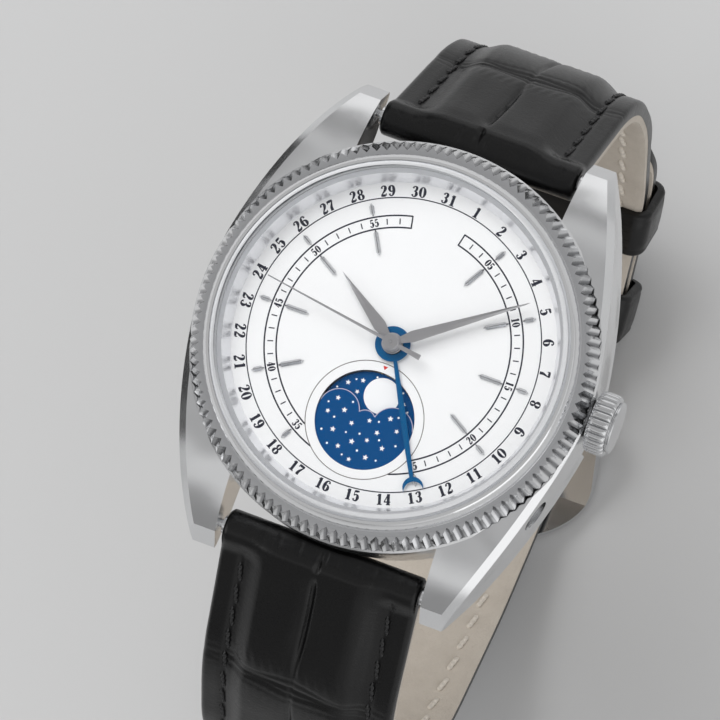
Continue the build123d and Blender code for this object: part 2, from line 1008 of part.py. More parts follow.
# Dial side


def dial():
    """Dial plate with the moon window, a centre hole and two feet."""
    plate = disc(dial_radius, dial_bottom, dial_thickness)
    plate -= disc(dial_hole_radius, dial_bottom - cut_overrun, dial_thickness + 2 * cut_overrun)
    plate -= at(
        moon_centre, disc(moon_window_radius, dial_bottom - cut_overrun, dial_thickness + 2 * cut_overrun)
    )
    plate -= at(
        moon_centre, disc(moon_seat_radius, dial_bottom - cut_overrun, cut_overrun + moon_seat_height)
    )
    for angle in dial_foot_angles:
        foot = Pos(dial_foot_circle, 0, dial_bottom - dial_foot_length) * extrude(
            Circle(dial_foot_radius), dial_foot_length
        )
        plate += along(angle, foot)
    return plate


def marker_outline(start, end, inset, height):
    """Outline of a baton with pointed ends, drawn in from its edge by an inset."""
    half = marker_width / 2 - inset
    point = marker_point * half / (marker_width / 2)
    near, far = start + inset, end - inset
    return Pos(0, 0, height) * make_face(
        Polyline(
            (near, 0),
            (near + point, -half),
            (far - point, -half),
            (far, 0),
            (far - point, half),
            (near + point, half),
            close=True,
        )
    )


def marker(start, end):
    """Baton with pointed ends and a bevelled top, along +X."""
    low = dial_top + marker_height - marker_bevel_height
    top = dial_top + marker_height
    foot = extrude(marker_outline(start, end, 0, dial_top), low - dial_top)
    roof = loft(
        [marker_outline(start, end, 0, low), marker_outline(start, end, marker_bevel, top)], ruled=True
    )
    return foot + roof


def hour_markers():
    """Applied markers as separate pieces, an outer and an inner one for most hours."""
    pieces = []
    for hour in marker_outer_hours:
        pieces.append(along(90 - 30 * hour, marker(marker_outer_start, marker_outer_end)))
    for hour in marker_inner_hours:
        pieces.append(along(90 - 30 * hour, marker(marker_inner_start, marker_inner_end)))
    return pieces


def moon_cover():
    """Fixed plate over the moon disc, with a hump each side of a small bump."""
    below = Pos(0, -moon_seat_radius / 2) * Rectangle(2 * moon_seat_radius, moon_seat_radius)
    sky = below
    for side in (-1, 1):
        sky += Pos(side * moon_hump_centre_x, moon_hump_rise) * Circle(moon_hump_radius)
    sky += Pos(0, -moon_bump_drop) * Circle(moon_bump_radius)
    plate = sky & Circle(moon_seat_radius - seat_clearance)
    height = dial_bottom + moon_seat_height - moon_cover_thickness
    return at(moon_centre, Pos(0, 0, height) * extrude(plate, moon_cover_thickness))


def moon_disc():
    """Moon disc on its toothed wheel."""
    wheel_bottom = moon_disc_top - moon_disc_thickness - moon_wheel_thickness
    plate = disc(moon_disc_radius, moon_disc_top - moon_disc_thickness, moon_disc_thickness)
    wheel = toothed(
        moon_wheel_teeth, moon_wheel_tip_radius, moon_wheel_root_radius, 0, wheel_bottom,
        moon_wheel_thickness,
    )
    hole = disc(
        moon_post_radius + running_clearance, wheel_bottom - cut_overrun, cut_overrun + moon_wheel_thickness
    )
    return at(moon_centre, plate + wheel - hole)


def pipe(outer, inner, bottom, top):
    """Upright tube at the centre of the dial."""
    return ring(outer, inner + pipe_clearance, bottom, top - bottom)


def date_wheel():
    """Star wheel of the date with the pipe that carries its hand."""
    wheel = toothed(
        date_count, date_wheel_radius, date_wheel_root, 0, date_wheel_bottom, date_wheel_thickness
    )
    wheel += disc(
        date_pipe_radius, date_wheel_bottom, date_hand_bottom + date_hand_thickness - date_wheel_bottom
    )
    top = date_hand_bottom + date_hand_thickness
    return wheel - disc(hour_pipe_radius + pipe_clearance, date_wheel_bottom - cut_overrun, top)


def hour_wheel():
    """Hour wheel and the pipe that carries the hour hand."""
    wheel = crossed_gear(
        minute_wheel_distance, hour_wheel_teeth, minute_pinion_teeth, hour_wheel_phase(),
        hour_wheel_bottom, hour_tooth_height,
    )
    top = hour_hand_bottom + hour_hand_thickness
    wheel += disc(hour_pipe_radius, hour_wheel_bottom, top - hour_wheel_bottom)
    return wheel - disc(cannon_radius + pipe_clearance, hour_wheel_bottom - cut_overrun, top)


def cannon_pinion():
    """Cannon pinion, which slips on the centre arbor and carries the minute hand."""
    top = minute_hand_bottom + minute_hand_thickness
    body = gear(
        minute_wheel_distance, cannon_teeth, minute_wheel_teeth, 0, minute_wheel_bottom - part_clearance,
        cannon_tooth_height,
    )
    body += disc(cannon_radius, minute_wheel_bottom, top - minute_wheel_bottom)
    return body - disc(centre_tube_radius + pipe_clearance / 2, minute_wheel_bottom - cut_overrun, top)


def minute_wheel_phase():
    """Phase of the minute wheel against the cannon pinion."""
    return mesh_phase(minute_wheel_direction, 0, cannon_teeth, minute_wheel_teeth)


def hour_wheel_phase():
    """Phase of the hour wheel against the minute pinion, whose phase is nought."""
    return mesh_phase(minute_wheel_direction + 180, 0, minute_pinion_teeth, hour_wheel_teeth)


def minute_wheel():
    """Minute wheel with its pinion, turning on a post."""
    wheel = crossed_gear(
        minute_wheel_distance, minute_wheel_teeth, cannon_teeth, minute_wheel_phase(),
        minute_wheel_bottom, wheel_thickness,
    )
    top = hour_wheel_bottom + hour_tooth_height
    wheel += gear(
        minute_wheel_distance, minute_pinion_teeth, hour_wheel_teeth, 0,
        minute_wheel_bottom, top - minute_wheel_bottom,
    )
    wheel -= disc(post_radius + running_clearance, minute_wheel_bottom - cut_overrun, top)
    return at(minute_wheel_centre, wheel)


def calendar_distance():
    """Centre distance of the calendar wheel, from the hour wheel's module."""
    module = 2 * pitch_radius(
        minute_wheel_distance, hour_wheel_teeth, minute_pinion_teeth
    ) / hour_wheel_teeth
    return module * (hour_wheel_teeth + calendar_wheel_teeth) / 2


def calendar_centre():
    """Place of the calendar wheel."""
    angle = radians(calendar_direction)
    return (calendar_distance() * cos(angle), calendar_distance() * sin(angle))


def calendar_wheel():
    """Wheel that turns once a day, with fingers for the date and the moon."""
    distance = calendar_distance()
    phase = mesh_phase(calendar_direction, hour_wheel_phase(), hour_wheel_teeth, calendar_wheel_teeth)
    wheel = crossed_gear(
        distance, calendar_wheel_teeth, hour_wheel_teeth, phase, hour_wheel_bottom, hour_tooth_height
    )
    fingers_bottom = hour_wheel_bottom + hour_tooth_height
    date_reach = distance - date_wheel_radius - calendar_finger_gap
    moon_reach = sqrt(distance**2 + moon_offset**2) - moon_wheel_tip_radius - calendar_finger_gap
    top = date_wheel_bottom + date_wheel_thickness
    wheel += disc(wheel_hub, fingers_bottom, top - fingers_bottom)
    moon_finger = Pos(moon_reach / 2, 0, fingers_bottom) * extrude(
        Rectangle(moon_reach, calendar_finger_width), calendar_finger_thickness
    )
    date_finger = Pos(date_reach / 2, 0, date_wheel_bottom) * extrude(
        Rectangle(date_reach, calendar_finger_width), date_wheel_thickness
    )
    wheel += along(moon_finger_angle, moon_finger) + along(date_finger_angle, date_finger)
    wheel -= disc(post_radius + running_clearance, hour_wheel_bottom - cut_overrun, dial_bottom)
    return at(calendar_centre(), wheel)


def clock_turn(angle):
    """Turns a hand made along +X to a dial angle counted clockwise from 12."""
    return 90 - angle


def leaf_hand(length, width, thickness, hub_radius, bore):
    """Leaf hand along +X: a waist at the hub, a shoulder and a long taper."""
    waist = width * hand_waist_share
    shoulder = hand_shoulder_radius
    point = width * hand_point_share / 2
    outline = make_face(
        Polyline(
            (0, waist),
            (hub_radius, waist),
            (shoulder, width / 2),
            (length, point),
            (length, -point),
            (shoulder, -width / 2),
            (hub_radius, -waist),
            (0, -waist),
            close=True,
        )
    )
    blade = extrude(outline, thickness) + extrude(Circle(hub_radius), thickness)
    blade = chamfer(blade.edges().group_by(Axis.Z)[-1], hand_bevel)
    return blade - Pos(0, 0, -thickness) * extrude(Circle(bore), 3 * thickness)


def hour_hand():
    """Hour hand on the hour pipe."""
    hand = leaf_hand(
        hour_hand_length, hour_hand_width, hour_hand_thickness, hour_hub_radius, hour_pipe_radius
    )
    return Pos(0, 0, hour_hand_bottom) * along(clock_turn(hour_angle), hand)


def minute_hand():
    """Minute hand on the cannon pinion."""
    hand = leaf_hand(
        minute_hand_length, minute_hand_width, minute_hand_thickness, minute_hub_radius, cannon_radius
    )
    return Pos(0, 0, minute_hand_bottom) * along(clock_turn(minute_angle), hand)


def second_hand():
    """Second hand with a flat counterweight and a capped hub."""
    blade = make_face(
        Polyline(
            (0, second_hand_width / 2),
            (second_hand_length, second_hand_tip_width / 2),
            (second_hand_length, -second_hand_tip_width / 2),
            (0, -second_hand_width / 2),
            close=True,
        )
    )
    tail = make_face(
        Polyline(
            (0, second_hand_width / 2),
            (0, -second_hand_width / 2),
            (-counterweight_length, -counterweight_width / 2),
            (-counterweight_length, counterweight_width / 2),
            close=True,
        )
    )
    hand = extrude(blade + tail, second_hand_thickness)
    hand += extrude(Circle(second_hub_radius), second_cap_height)
    return Pos(0, 0, second_hand_bottom) * along(clock_turn(second_angle), hand)


def date_hand():
    """Date hand: a ring hub, a thin arm and a crescent that holds the date."""
    arm = crescent_middle + crescent_shift / 2 - crescent_inner_radius
    taper = make_face(
        Polyline(
            (0, date_hand_width / 2),
            (arm, date_hand_tip_width / 2),
            (arm, -date_hand_tip_width / 2),
            (0, -date_hand_width / 2),
            close=True,
        )
    )
    crescent = Pos(crescent_middle, 0) * Circle(crescent_outer_radius)
    crescent -= Pos(crescent_middle + crescent_shift, 0) * Circle(crescent_inner_radius)
    outline = taper + Circle(date_hub_radius) + crescent
    hand = extrude(outline - Circle(date_pipe_radius), date_hand_thickness)
    angle = clock_turn(360 * date_number / date_count)
    return Pos(0, 0, date_hand_bottom) * along(angle, hand)


# Movement


def plate_holes(places, bottom, radius):
    """Round holes through a plate at several places."""
    holes = Part()
    for place in places:
        holes += at(place, disc(radius, bottom - cut_overrun, plate_top - plate_bottom + 2 * cut_overrun))
    return holes


def main_plate():
    """Main plate with a dial rim, the stem channel and the wheel posts."""
    thickness = plate_top - plate_bottom
    body = disc(plate_radius, plate_bottom, thickness)
    body += ring(plate_radius, plate_radius - plate_rim_width, plate_top, dial_bottom - plate_top)
    body -= disc(centre_tube_radius + part_clearance, plate_bottom - cut_overrun, dial_top)
    body -= plate_holes(
        (
            third_centre, escape_centre, pallet_centre, balance_centre
        ), plate_bottom, pivot_radius + running_clearance
    )
    body -= plate_holes((barrel_centre,), plate_bottom, barrel_pivot_radius + running_clearance)
    body -= shaft(
        stem_radius + winding_pocket_clearance, stem_inner_end - cut_overrun, plate_radius, stem_height
    )
    pocket_start = clutch_start - 3 * winding_pocket_clearance
    pocket_length = winding_pinion_start + winding_pinion_length + winding_pocket_clearance - pocket_start
    pocket_width = 2 * (winding_pinion_radius + winding_pocket_clearance)
    pocket = Box(pocket_length, pocket_width, 2 * thickness + 2 * cut_overrun)
    body -= Pos(pocket_start + pocket_length / 2, 0, plate_top) * pocket
    body -= setting_lever_pocket()
    body += at(
        moon_centre,
        disc(moon_post_radius, plate_top, moon_disc_top - moon_disc_thickness - plate_top - part_clearance),
    )
    body += at(
        minute_wheel_centre, disc(post_radius, plate_top, hour_wheel_bottom + hour_tooth_height - plate_top)
    )
    body += at(
        calendar_centre(), disc(post_radius, plate_top, date_wheel_bottom + date_wheel_thickness - plate_top)
    )
    body -= bridge_pattern(bridge_thread_radius, plate_bottom - cut_overrun, 2 * cut_overrun)
    for angle in dial_foot_angles:
        hole = Pos(dial_foot_circle, 0, plate_top) * extrude(
            Circle(dial_foot_radius + part_clearance), dial_bottom - plate_top, both=True
        )
        body -= along(angle, hole)
    return body


def bridge_pattern(radius, bottom, height):
    """Cylinders at the bridge feet."""
    posts = Part()
    for angle in bridge_foot_angles:
        posts += along(angle, Pos(bridge_foot_circle, 0, bottom) * extrude(Circle(radius), height))
    return posts


def pivots():
    """Places of the wheel pivots that the train bridge carries."""
    return ((0.0, 0.0), third_centre, escape_centre, pallet_centre)


def train_bridge():
    """Bridge over the barrel and the train, open round the balance."""
    thickness = bridge_top - bridge_bottom
    body = disc(bridge_radius, bridge_bottom, thickness)
    body -= at(
        balance_centre, disc(balance_gap_radius, bridge_bottom - cut_overrun, thickness + 2 * cut_overrun)
    )
    foot = cock_foot()
    body -= at(foot, disc(
        cock_foot_radius + part_clearance, bridge_bottom - cut_overrun, thickness + 2 * cut_overrun
    ))
    slot = cock_slot(cock_width + 2 * part_clearance)
    body -= slot
    body += bridge_pattern(bridge_foot_radius, bridge_bottom, plate_bottom - bridge_bottom)
    body -= bridge_pattern(bridge_thread_radius, bridge_bottom - cut_overrun, plate_bottom)
    body -= plate_holes(pivots(), bridge_bottom - cut_overrun, jewel_radius)
    body -= plate_holes(
        (barrel_centre,), bridge_bottom - cut_overrun, barrel_pivot_radius + running_clearance
    )
    body -= plate_holes(
        (crown_wheel_centre,), bridge_bottom - cut_overrun, crown_wheel_hub_radius + running_clearance
    )
    return body


def cock_foot():
    """Place of the balance cock's foot."""
    angle = radians(cock_foot_direction)
    return (
        balance_centre[0] + cock_foot_distance * cos(angle),
        balance_centre[1] + cock_foot_distance * sin(angle),
    )


def cock_slot(width):
    """Straight bar from the balance staff to the cock's foot."""
    bar = Pos(cock_foot_distance / 2, 0, bridge_bottom - cut_overrun) * extrude(
        Rectangle(cock_foot_distance, width), bridge_top - bridge_bottom + 2 * cut_overrun
    )
    return at(balance_centre, Rot(0, 0, cock_foot_direction) * bar)


def balance_cock():
    """Cock that carries the balance, on its own foot."""
    thickness = bridge_top - cock_bottom
    bar = Pos(cock_foot_distance / 2, 0, cock_bottom) * extrude(
        Rectangle(cock_foot_distance, cock_width), thickness
    )
    bar += disc(cock_width / 2, cock_bottom, thickness)
    body = at(balance_centre, Rot(0, 0, cock_foot_direction) * bar)
    foot = cock_foot()
    body += at(foot, disc(cock_foot_radius, cock_bottom, plate_bottom - cock_bottom))
    body -= at(foot, disc(bridge_thread_radius, cock_bottom - cut_overrun, plate_bottom))
    return body - at(balance_centre, disc(jewel_radius, cock_bottom - cut_overrun, plate_bottom))


def jewels():
    """Ring jewels pressed in the bridge and the cock."""
    stones = []
    for place in (*pivots(), balance_centre):
        stone = ring(jewel_radius, jewel_hole_radius, bridge_top - jewel_height, jewel_height)
        stones.append(at(place, stone))
    return stones


def screw(height):
    """Slotted screw with its head below and its shank above, on the dial axis."""
    head = disc(bridge_screw_radius, height - bridge_screw_height, bridge_screw_height)
    shank = disc(bridge_thread_radius, height, bridge_top - bridge_bottom)
    slot = Pos(0, 0, height - bridge_screw_height) * Box(
        2 * bridge_screw_radius, bridge_thread_radius / 2, bridge_screw_height
    )
    return head + shank - slot


def bridge_screws():
    """Screws of the train bridge and the balance cock."""
    screws = []
    for angle in bridge_foot_angles:
        screws.append(along(angle, Pos(bridge_foot_circle, 0, 0) * screw(bridge_bottom)))
    screws.append(at(cock_foot(), screw(cock_bottom)))
    return screws


def movement_holder():
    """Ring that centres the movement in the case."""
    body = ring(
        movement_bore_radius - part_clearance, holder_inner_radius, holder_bottom,
        dial_bottom - holder_bottom,
    )
    body -= shaft(stem_radius + winding_pocket_clearance, plate_radius, case_radius, stem_height)
    bore_radius = corrector_stem_radius + winding_pocket_clearance
    bore = shaft(bore_radius, plate_radius - cut_overrun, case_radius, corrector_height)
    return body - along(corrector_angle, bore)


def barrel_phase():
    """Phase of the barrel's teeth."""
    return barrel_direction + 180


def barrel():
    """Toothed drum that holds the mainspring."""
    pitch = pitch_radius(barrel_distance, barrel_teeth, centre_pinion_teeth)
    drum = pitch * (1 - 2 * dedendum_share / barrel_teeth)
    body = gear(
        barrel_distance, barrel_teeth, centre_pinion_teeth, barrel_phase(), barrel_bottom,
        barrel_tooth_height,
    )
    body += disc(drum, barrel_bottom, barrel_height)
    body -= disc(
        drum - barrel_wall, barrel_bottom + barrel_tooth_height, barrel_height - 2 * barrel_tooth_height
    )
    return at(barrel_centre, body - disc(
        barrel_pivot_radius + running_clearance, barrel_bottom - cut_overrun, plate_top
    ))


def mainspring():
    """Mainspring wound against the wall of the barrel."""
    pitch = pitch_radius(barrel_distance, barrel_teeth, centre_pinion_teeth)
    outer = pitch * (1 - 2 * dedendum_share / barrel_teeth) - barrel_wall - seat_clearance
    bottom = barrel_bottom + barrel_tooth_height + seat_clearance
    height = barrel_height - 2 * barrel_tooth_height - 2 * seat_clearance
    return at(barrel_centre, ring(outer, barrel_arbor_radius + mainspring_gap, bottom, height))


def centre_wheel():
    """Centre wheel, its pinion and the hollow arbor that the cannon pinion slips on."""
    phase = mesh_phase(barrel_direction + 180, barrel_phase(), barrel_teeth, centre_pinion_teeth)
    body = crossed_gear(
        third_distance, centre_wheel_teeth, third_pinion_teeth, 0, centre_wheel_bottom, wheel_thickness
    )
    body += gear(
        barrel_distance, centre_pinion_teeth, barrel_teeth, phase, centre_pinion_bottom,
        centre_wheel_bottom - centre_pinion_bottom,
    )
    body += disc(
        centre_tube_radius, centre_wheel_bottom, minute_hand_bottom - centre_wheel_bottom - part_clearance
    )
    return body - disc(second_arbor_radius + running_clearance, bridge_bottom, dial_top + dial_bottom)


def third_wheel():
    """Third wheel with its pinion."""
    pinion_phase = mesh_phase(third_direction, 0, centre_wheel_teeth, third_pinion_teeth)
    body = crossed_gear(
        third_distance, third_wheel_teeth, fourth_pinion_teeth, third_direction + 180,
        third_wheel_bottom, wheel_thickness,
    )
    body += gear(
        third_distance, third_pinion_teeth, centre_wheel_teeth, pinion_phase,
        centre_wheel_bottom - part_clearance, wheel_thickness + 2 * part_clearance,
    )
    body += arbor(arbor_radius, bridge_top, plate_bottom)
    return at(third_centre, body)


def fourth_wheel():
    """Fourth wheel and pinion on the long arbor of the second hand."""
    pinion_phase = mesh_phase(
        third_direction + 180, third_direction + 180, third_wheel_teeth, fourth_pinion_teeth
    )
    pinion_bottom = fourth_wheel_bottom + wheel_thickness
    body = crossed_gear(
        escape_distance, fourth_wheel_teeth, escape_pinion_teeth, 0, fourth_wheel_bottom, wheel_thickness
    )
    body += gear(
        third_distance, fourth_pinion_teeth, third_wheel_teeth, pinion_phase, pinion_bottom,
        fourth_pinion_height,
    )
    top = second_hand_bottom
    body += disc(second_arbor_radius, bridge_top, top - bridge_top)
    return body + disc(pivot_radius, bridge_top - pivot_length, pivot_length)


def escape_wheel():
    """Escape wheel with hooked teeth and its pinion."""
    points = []
    root = escape_wheel_radius - escape_tooth_depth
    for index in range(escape_teeth):
        angle = radians(360 * index / escape_teeth)
        lean = radians(360 / escape_teeth * tooth_root_share)
        points.append((escape_wheel_radius * cos(angle), escape_wheel_radius * sin(angle)))
        points.append((root * cos(angle + lean), root * sin(angle + lean)))
    body = Pos(0, 0, escape_wheel_bottom) * extrude(
        make_face(Polyline(*points, close=True)), wheel_thickness
    )
    phase = mesh_phase(escape_direction, 0, fourth_wheel_teeth, escape_pinion_teeth)
    body += gear(
        escape_distance, escape_pinion_teeth, fourth_wheel_teeth, phase,
        fourth_wheel_bottom - part_clearance, wheel_thickness + 2 * part_clearance,
    )
    body += arbor(arbor_radius, bridge_top, plate_bottom)
    return at(escape_centre, body)


def pallet_fork():
    """Lever with its fork towards the balance and two arms towards the escape wheel."""
    arm = Pos(pallet_fork_length / 2, 0) * Rectangle(pallet_fork_length, pallet_arm_width)
    notch = Pos(pallet_fork_length, 0) * Rectangle(pallet_arm_width, pallet_arm_width / 2)
    cross = Rectangle(pallet_arm_width, 2 * pallet_span)
    outline = arm + cross - notch
    for side in (-1, 1):
        stone = Pos(-pallet_stone_length / 2, side * pallet_span) * Rectangle(
            pallet_stone_length + pallet_arm_width, pallet_stone_width
        )
        outline += stone
    body = Pos(0, 0, escape_wheel_bottom) * extrude(outline, pallet_thickness)
    body = Rot(0, 0, lever_direction) * body
    body += disc(arbor_radius / 2, pallet_arbor_bottom, plate_bottom - pallet_arbor_bottom)
    body += disc(pivot_radius, plate_bottom, pivot_length)
    return at(pallet_centre, body)


def balance_wheel():
    """Balance wheel with three arms, rim screws, its staff, roller and impulse jewel."""
    rim = Circle(balance_radius) - Circle(balance_radius - balance_rim)
    arms = Circle(roller_radius)
    for index in range(3):
        arms += Rot(0, 0, 120 * index) * (
            Pos((balance_radius - balance_rim / 2) / 2, 0) * Rectangle(
                balance_radius - balance_rim / 2, balance_arm_width
            )
        )
    body = Pos(0, 0, balance_bottom) * extrude(rim + arms, balance_thickness)
    for index in range(balance_screw_count):
        place = Pos(balance_radius - balance_rim / 2, 0, balance_bottom - balance_screw_height)
        body += along(360 * (index + 0.5) / balance_screw_count, place * extrude(
            Circle(balance_screw_radius), balance_screw_height
        ))
    body += disc(roller_radius, roller_bottom, roller_thickness)
    jewel_circle = balance_distance - pallet_fork_length - pallet_arm_width / 4
    jewel = Pos(-jewel_circle, 0, roller_bottom) * extrude(Circle(roller_jewel_radius), roller_jewel_height)
    body += along(lever_direction, jewel)
    body += arbor(arbor_radius, bridge_top, plate_bottom)
    return at(balance_centre, body)


def hairspring():
    """Flat spiral spring round the balance staff, as one unbroken ribbon."""
    steps = hairspring_turns * hairspring_steps
    inner, outer = [], []
    for index in range(steps + 1):
        angle = 2 * pi * index / hairspring_steps
        radius = hairspring_inner_radius + hairspring_pitch * index / hairspring_steps
        inner.append((radius * cos(angle), radius * sin(angle)))
        outer.append(((radius + hairspring_width) * cos(angle), (radius + hairspring_width) * sin(angle)))
    outline = make_face(Polyline(*inner, *reversed(outer), close=True))
    return at(balance_centre, Pos(0, 0, hairspring_bottom) * extrude(outline, hairspring_height))


def ratchet_distance():
    """Centre distance of the ratchet and crown wheels."""
    return sqrt(
        (crown_wheel_x - barrel_centre[0]) ** 2 + (crown_wheel_y - barrel_centre[1]) ** 2
    )


def ratchet_direction():
    """Direction from the ratchet wheel to the crown wheel."""
    return degrees(atan2(crown_wheel_y - barrel_centre[1], crown_wheel_x - barrel_centre[0]))


def ratchet_wheel():
    """Ratchet wheel with the arbor that it turns inside the barrel."""
    body = gear(
        ratchet_distance(), ratchet_teeth, crown_wheel_teeth, ratchet_direction(),
        ratchet_bottom, ratchet_thickness,
    )
    body += disc(
        barrel_arbor_radius,
        barrel_bottom + barrel_tooth_height + seat_clearance,
        barrel_height - 2 * barrel_tooth_height - 2 * seat_clearance,
    )
    body += disc(barrel_pivot_radius, ratchet_bottom, plate_top - ratchet_bottom)
    return at(barrel_centre, body)


def crown_wheel():
    """Crown wheel: its lower teeth face the winding pinion, its upper ones the ratchet."""
    phase = mesh_phase(ratchet_direction(), ratchet_direction(), ratchet_teeth, crown_wheel_teeth)
    body = gear(
        ratchet_distance(), crown_wheel_teeth, ratchet_teeth, phase, ratchet_bottom, ratchet_thickness
    )
    height = crown_wheel_lower_bottom - ratchet_bottom + ratchet_thickness
    body += disc(crown_wheel_hub_radius, ratchet_bottom, height)
    body += toothed(
        crown_wheel_teeth, crown_wheel_lower_radius, crown_wheel_lower_radius - winding_tooth_depth, 0,
        crown_wheel_lower_bottom, ratchet_thickness,
    )
    return at(crown_wheel_centre, body)


def click():
    """Click that lets the ratchet wheel turn one way."""
    angle = radians(click_angle)
    tip = pitch_radius(ratchet_distance(), ratchet_teeth, crown_wheel_teeth) * (
        1 + 2 * addendum_share / ratchet_teeth
    )
    reach = tip + click_gap
    arm = Pos(reach + click_arm_length / 2, 0) * Rectangle(click_arm_length, click_width)
    hub = Pos(reach + click_arm_length, 0) * Circle(click_hub_radius)
    body = Pos(0, 0, ratchet_bottom) * extrude(arm + hub, ratchet_thickness)
    post = Circle(click_hub_radius / 2)
    body += Pos(reach + click_arm_length, 0, ratchet_bottom) * extrude(post, bridge_bottom - ratchet_bottom)
    return at(barrel_centre, along(click_angle, body))


def contrate(start, length, radius, teeth, bore, phase=0):
    """Toothed cylinder along the stem with a round bore."""
    outline = make_face(
        Polyline(*tooth_points(teeth, radius, radius - winding_tooth_depth, phase), close=True)
    )
    return Pos(start, 0, stem_height) * (Plane.YZ * extrude(outline - Circle(bore), length))


def winding_pinion():
    """Winding pinion, which turns with the stem."""
    return contrate(
        winding_pinion_start, winding_pinion_length, winding_pinion_radius, winding_pinion_teeth,
        stem_radius + running_clearance,
    )


def sliding_pinion():
    """Clutch that slides on the square of the stem."""
    body = contrate(clutch_start, clutch_length, clutch_radius, clutch_teeth, stem_radius / 2)
    hole = Pos(clutch_start - cut_overrun, 0, stem_height) * (
        Plane.YZ * extrude(
            Rectangle(stem_square + 2 * running_clearance, stem_square + 2 * running_clearance),
            clutch_length + 2 * cut_overrun,
        )
    )
    return body - hole


def rotor():
    """Half-disc winding rotor with a heavy rim."""
    plate = Circle(rotor_radius) - Circle(rotor_rim_inner)
    plate += Circle(rotor_rim_inner + part_clearance) - Circle(rotor_arm_gap)
    half = Pos(0, -rotor_radius) * Rectangle(2 * rotor_radius, 2 * rotor_radius)
    web = (plate & half) + Circle(rotor_hub_radius + bearing_race)
    web += Pos(0, -rotor_arm_gap / 2 - rotor_hub_radius / 2) * Rectangle(rotor_arm_width, rotor_arm_gap)
    rim = (Circle(rotor_radius) - Circle(rotor_rim_inner)) & half
    body = Pos(0, 0, rotor_bottom) * extrude(web, rotor_plate_thickness)
    body += Pos(0, 0, rotor_bottom) * extrude(rim, rotor_rim_height)
    body -= disc(bearing_outer_radius - seat_clearance, rotor_bottom - cut_overrun, 2 * cut_overrun)
    return body + bearing_outer_race()


def bearing_outer_race():
    """Outer race pressed in the rotor, grooved for the balls."""
    middle = rotor_bottom + bearing_height / 2
    race = ring(bearing_outer_radius, bearing_ball_circle + seat_clearance, rotor_bottom, bearing_height)
    return race - Pos(0, 0, middle) * Torus(bearing_ball_circle, bearing_ball_radius + seat_clearance)


def bearing_inner_race():
    """Inner race and the stud that carries it on the bridge."""
    middle = rotor_bottom + bearing_height / 2
    race = disc(bearing_ball_circle - seat_clearance, rotor_bottom, bearing_height)
    race -= Pos(0, 0, middle) * Torus(bearing_ball_circle, bearing_ball_radius + seat_clearance)
    stud_bottom = rotor_bottom + bearing_height
    return race + disc(bearing_bore, stud_bottom, bridge_bottom - stud_bottom)


def rotor_bearing():
    """Stud with the inner race, and the balls round it."""
    return [bearing_inner_race(), *bearing_balls()]


def bearing_balls():
    """Balls of the rotor bearing."""
    middle = rotor_bottom + bearing_height / 2
    balls = []
    for index in range(bearing_ball_count):
        ball = Pos(bearing_ball_circle, 0, middle) * Sphere(bearing_ball_radius)
        balls.append(along(360 * index / bearing_ball_count, ball))
    return balls


def setting_lever_place():
    """Place of the setting lever's pivot, beside the stem's groove."""
    return (stem_groove_x + stem_groove_length / 2, setting_lever_y)


def setting_lever_pocket():
    """Pocket of the main plate for the setting lever, less the lever's post."""
    across, along_y = setting_lever_place()
    top = stem_height + stem_radius + setting_lever_thickness + 3 * part_clearance
    room = setting_lever_radius + winding_pocket_clearance
    length = 2 * room + setting_lever_travel
    width = along_y + 2 * room
    pocket = Pos(across - room + length / 2, along_y / 2, 0) * Box(length, width, 2 * top)
    post = at(setting_lever_place(), disc(setting_lever_post_radius, stem_height, top))
    return pocket - post


def setting_lever():
    """Lever whose pin sits in the groove of the stem."""
    reach = setting_lever_y
    groove_middle = setting_lever_place()[0]
    height = stem_height + stem_radius + part_clearance
    arm = Pos(groove_middle, reach / 2, height) * extrude(
        Rectangle(setting_lever_width, reach), setting_lever_thickness
    )
    hub = Pos(groove_middle, reach, height) * extrude(Circle(setting_lever_radius), setting_lever_thickness)
    pin = Pos(groove_middle, 0, stem_height + stem_groove_radius + part_clearance) * extrude(
        Circle(setting_lever_pin_radius), height - stem_height - stem_groove_radius
    )
    bore = at(
        setting_lever_place(), disc(setting_lever_post_radius + running_clearance, stem_height, stem_height)
    )
    return arm + hub + pin - bore


# Strap


def strap_stack():
    """Distance from one strap layer's seam line to the next where they lie together."""
    return leather_tail_thickness + layer_gap + lining_tail_thickness


def tail_seam_height():
    """Height of the tail's seam line where it lies flat."""
    return floor_height + leather_tail_thickness


def buckle_bar_height():
    """Height of the buckle's bar."""
    return tail_seam_height() + strap_stack()


def loop_depth():
    """Depth from the spring bars to the buckle's bar."""
    return spring_bar_z - buckle_bar_height()


def route(shares, reach):
    """Corners of a strap's route from its table of shares."""
    return [(reach * across, spring_bar_z - loop_depth() * down) for across, down in shares]


def normals(points):
    """Outward mitre direction at each corner of a route that turns to the right."""
    units = []
    for (y0, z0), (y1, z1) in zip(points, points[1:]):
        length = sqrt((y1 - y0) ** 2 + (z1 - z0) ** 2)
        units.append(((z0 - z1) / length, (y1 - y0) / length))
    result = [units[0]]
    for (a, b), (c, d) in zip(units, units[1:]):
        spread = 1 + a * c + b * d
        result.append(((a + c) / spread, (b + d) / spread))
    return result + [units[-1]]


def shifted(points, offsets):
    """Route moved sideways by its own distance at each corner."""
    return [
        (y + offset * across, z + offset * up)
        for (y, z), offset, (across, up) in zip(points, offsets, normals(points))
    ]


def layer(points, radii, inner, outer):
    """Solid layer between two distances from a route, wide enough for the widest strap."""
    inside = shifted(points, inner)
    outside = shifted(points, outer)
    inside_radii = [radius + move for radius, move in zip(radii, inner[1:-1])]
    outside_radii = [radius + move for radius, move in zip(radii, outer[1:-1])]
    outline = FilletPolyline(*inside, radius=inside_radii) + FilletPolyline(*outside, radius=outside_radii)
    outline += Line(inside[0], outside[0]) + Line(inside[-1], outside[-1])
    return extrude(Plane.YZ * make_face(outline), strap_width, both=True)


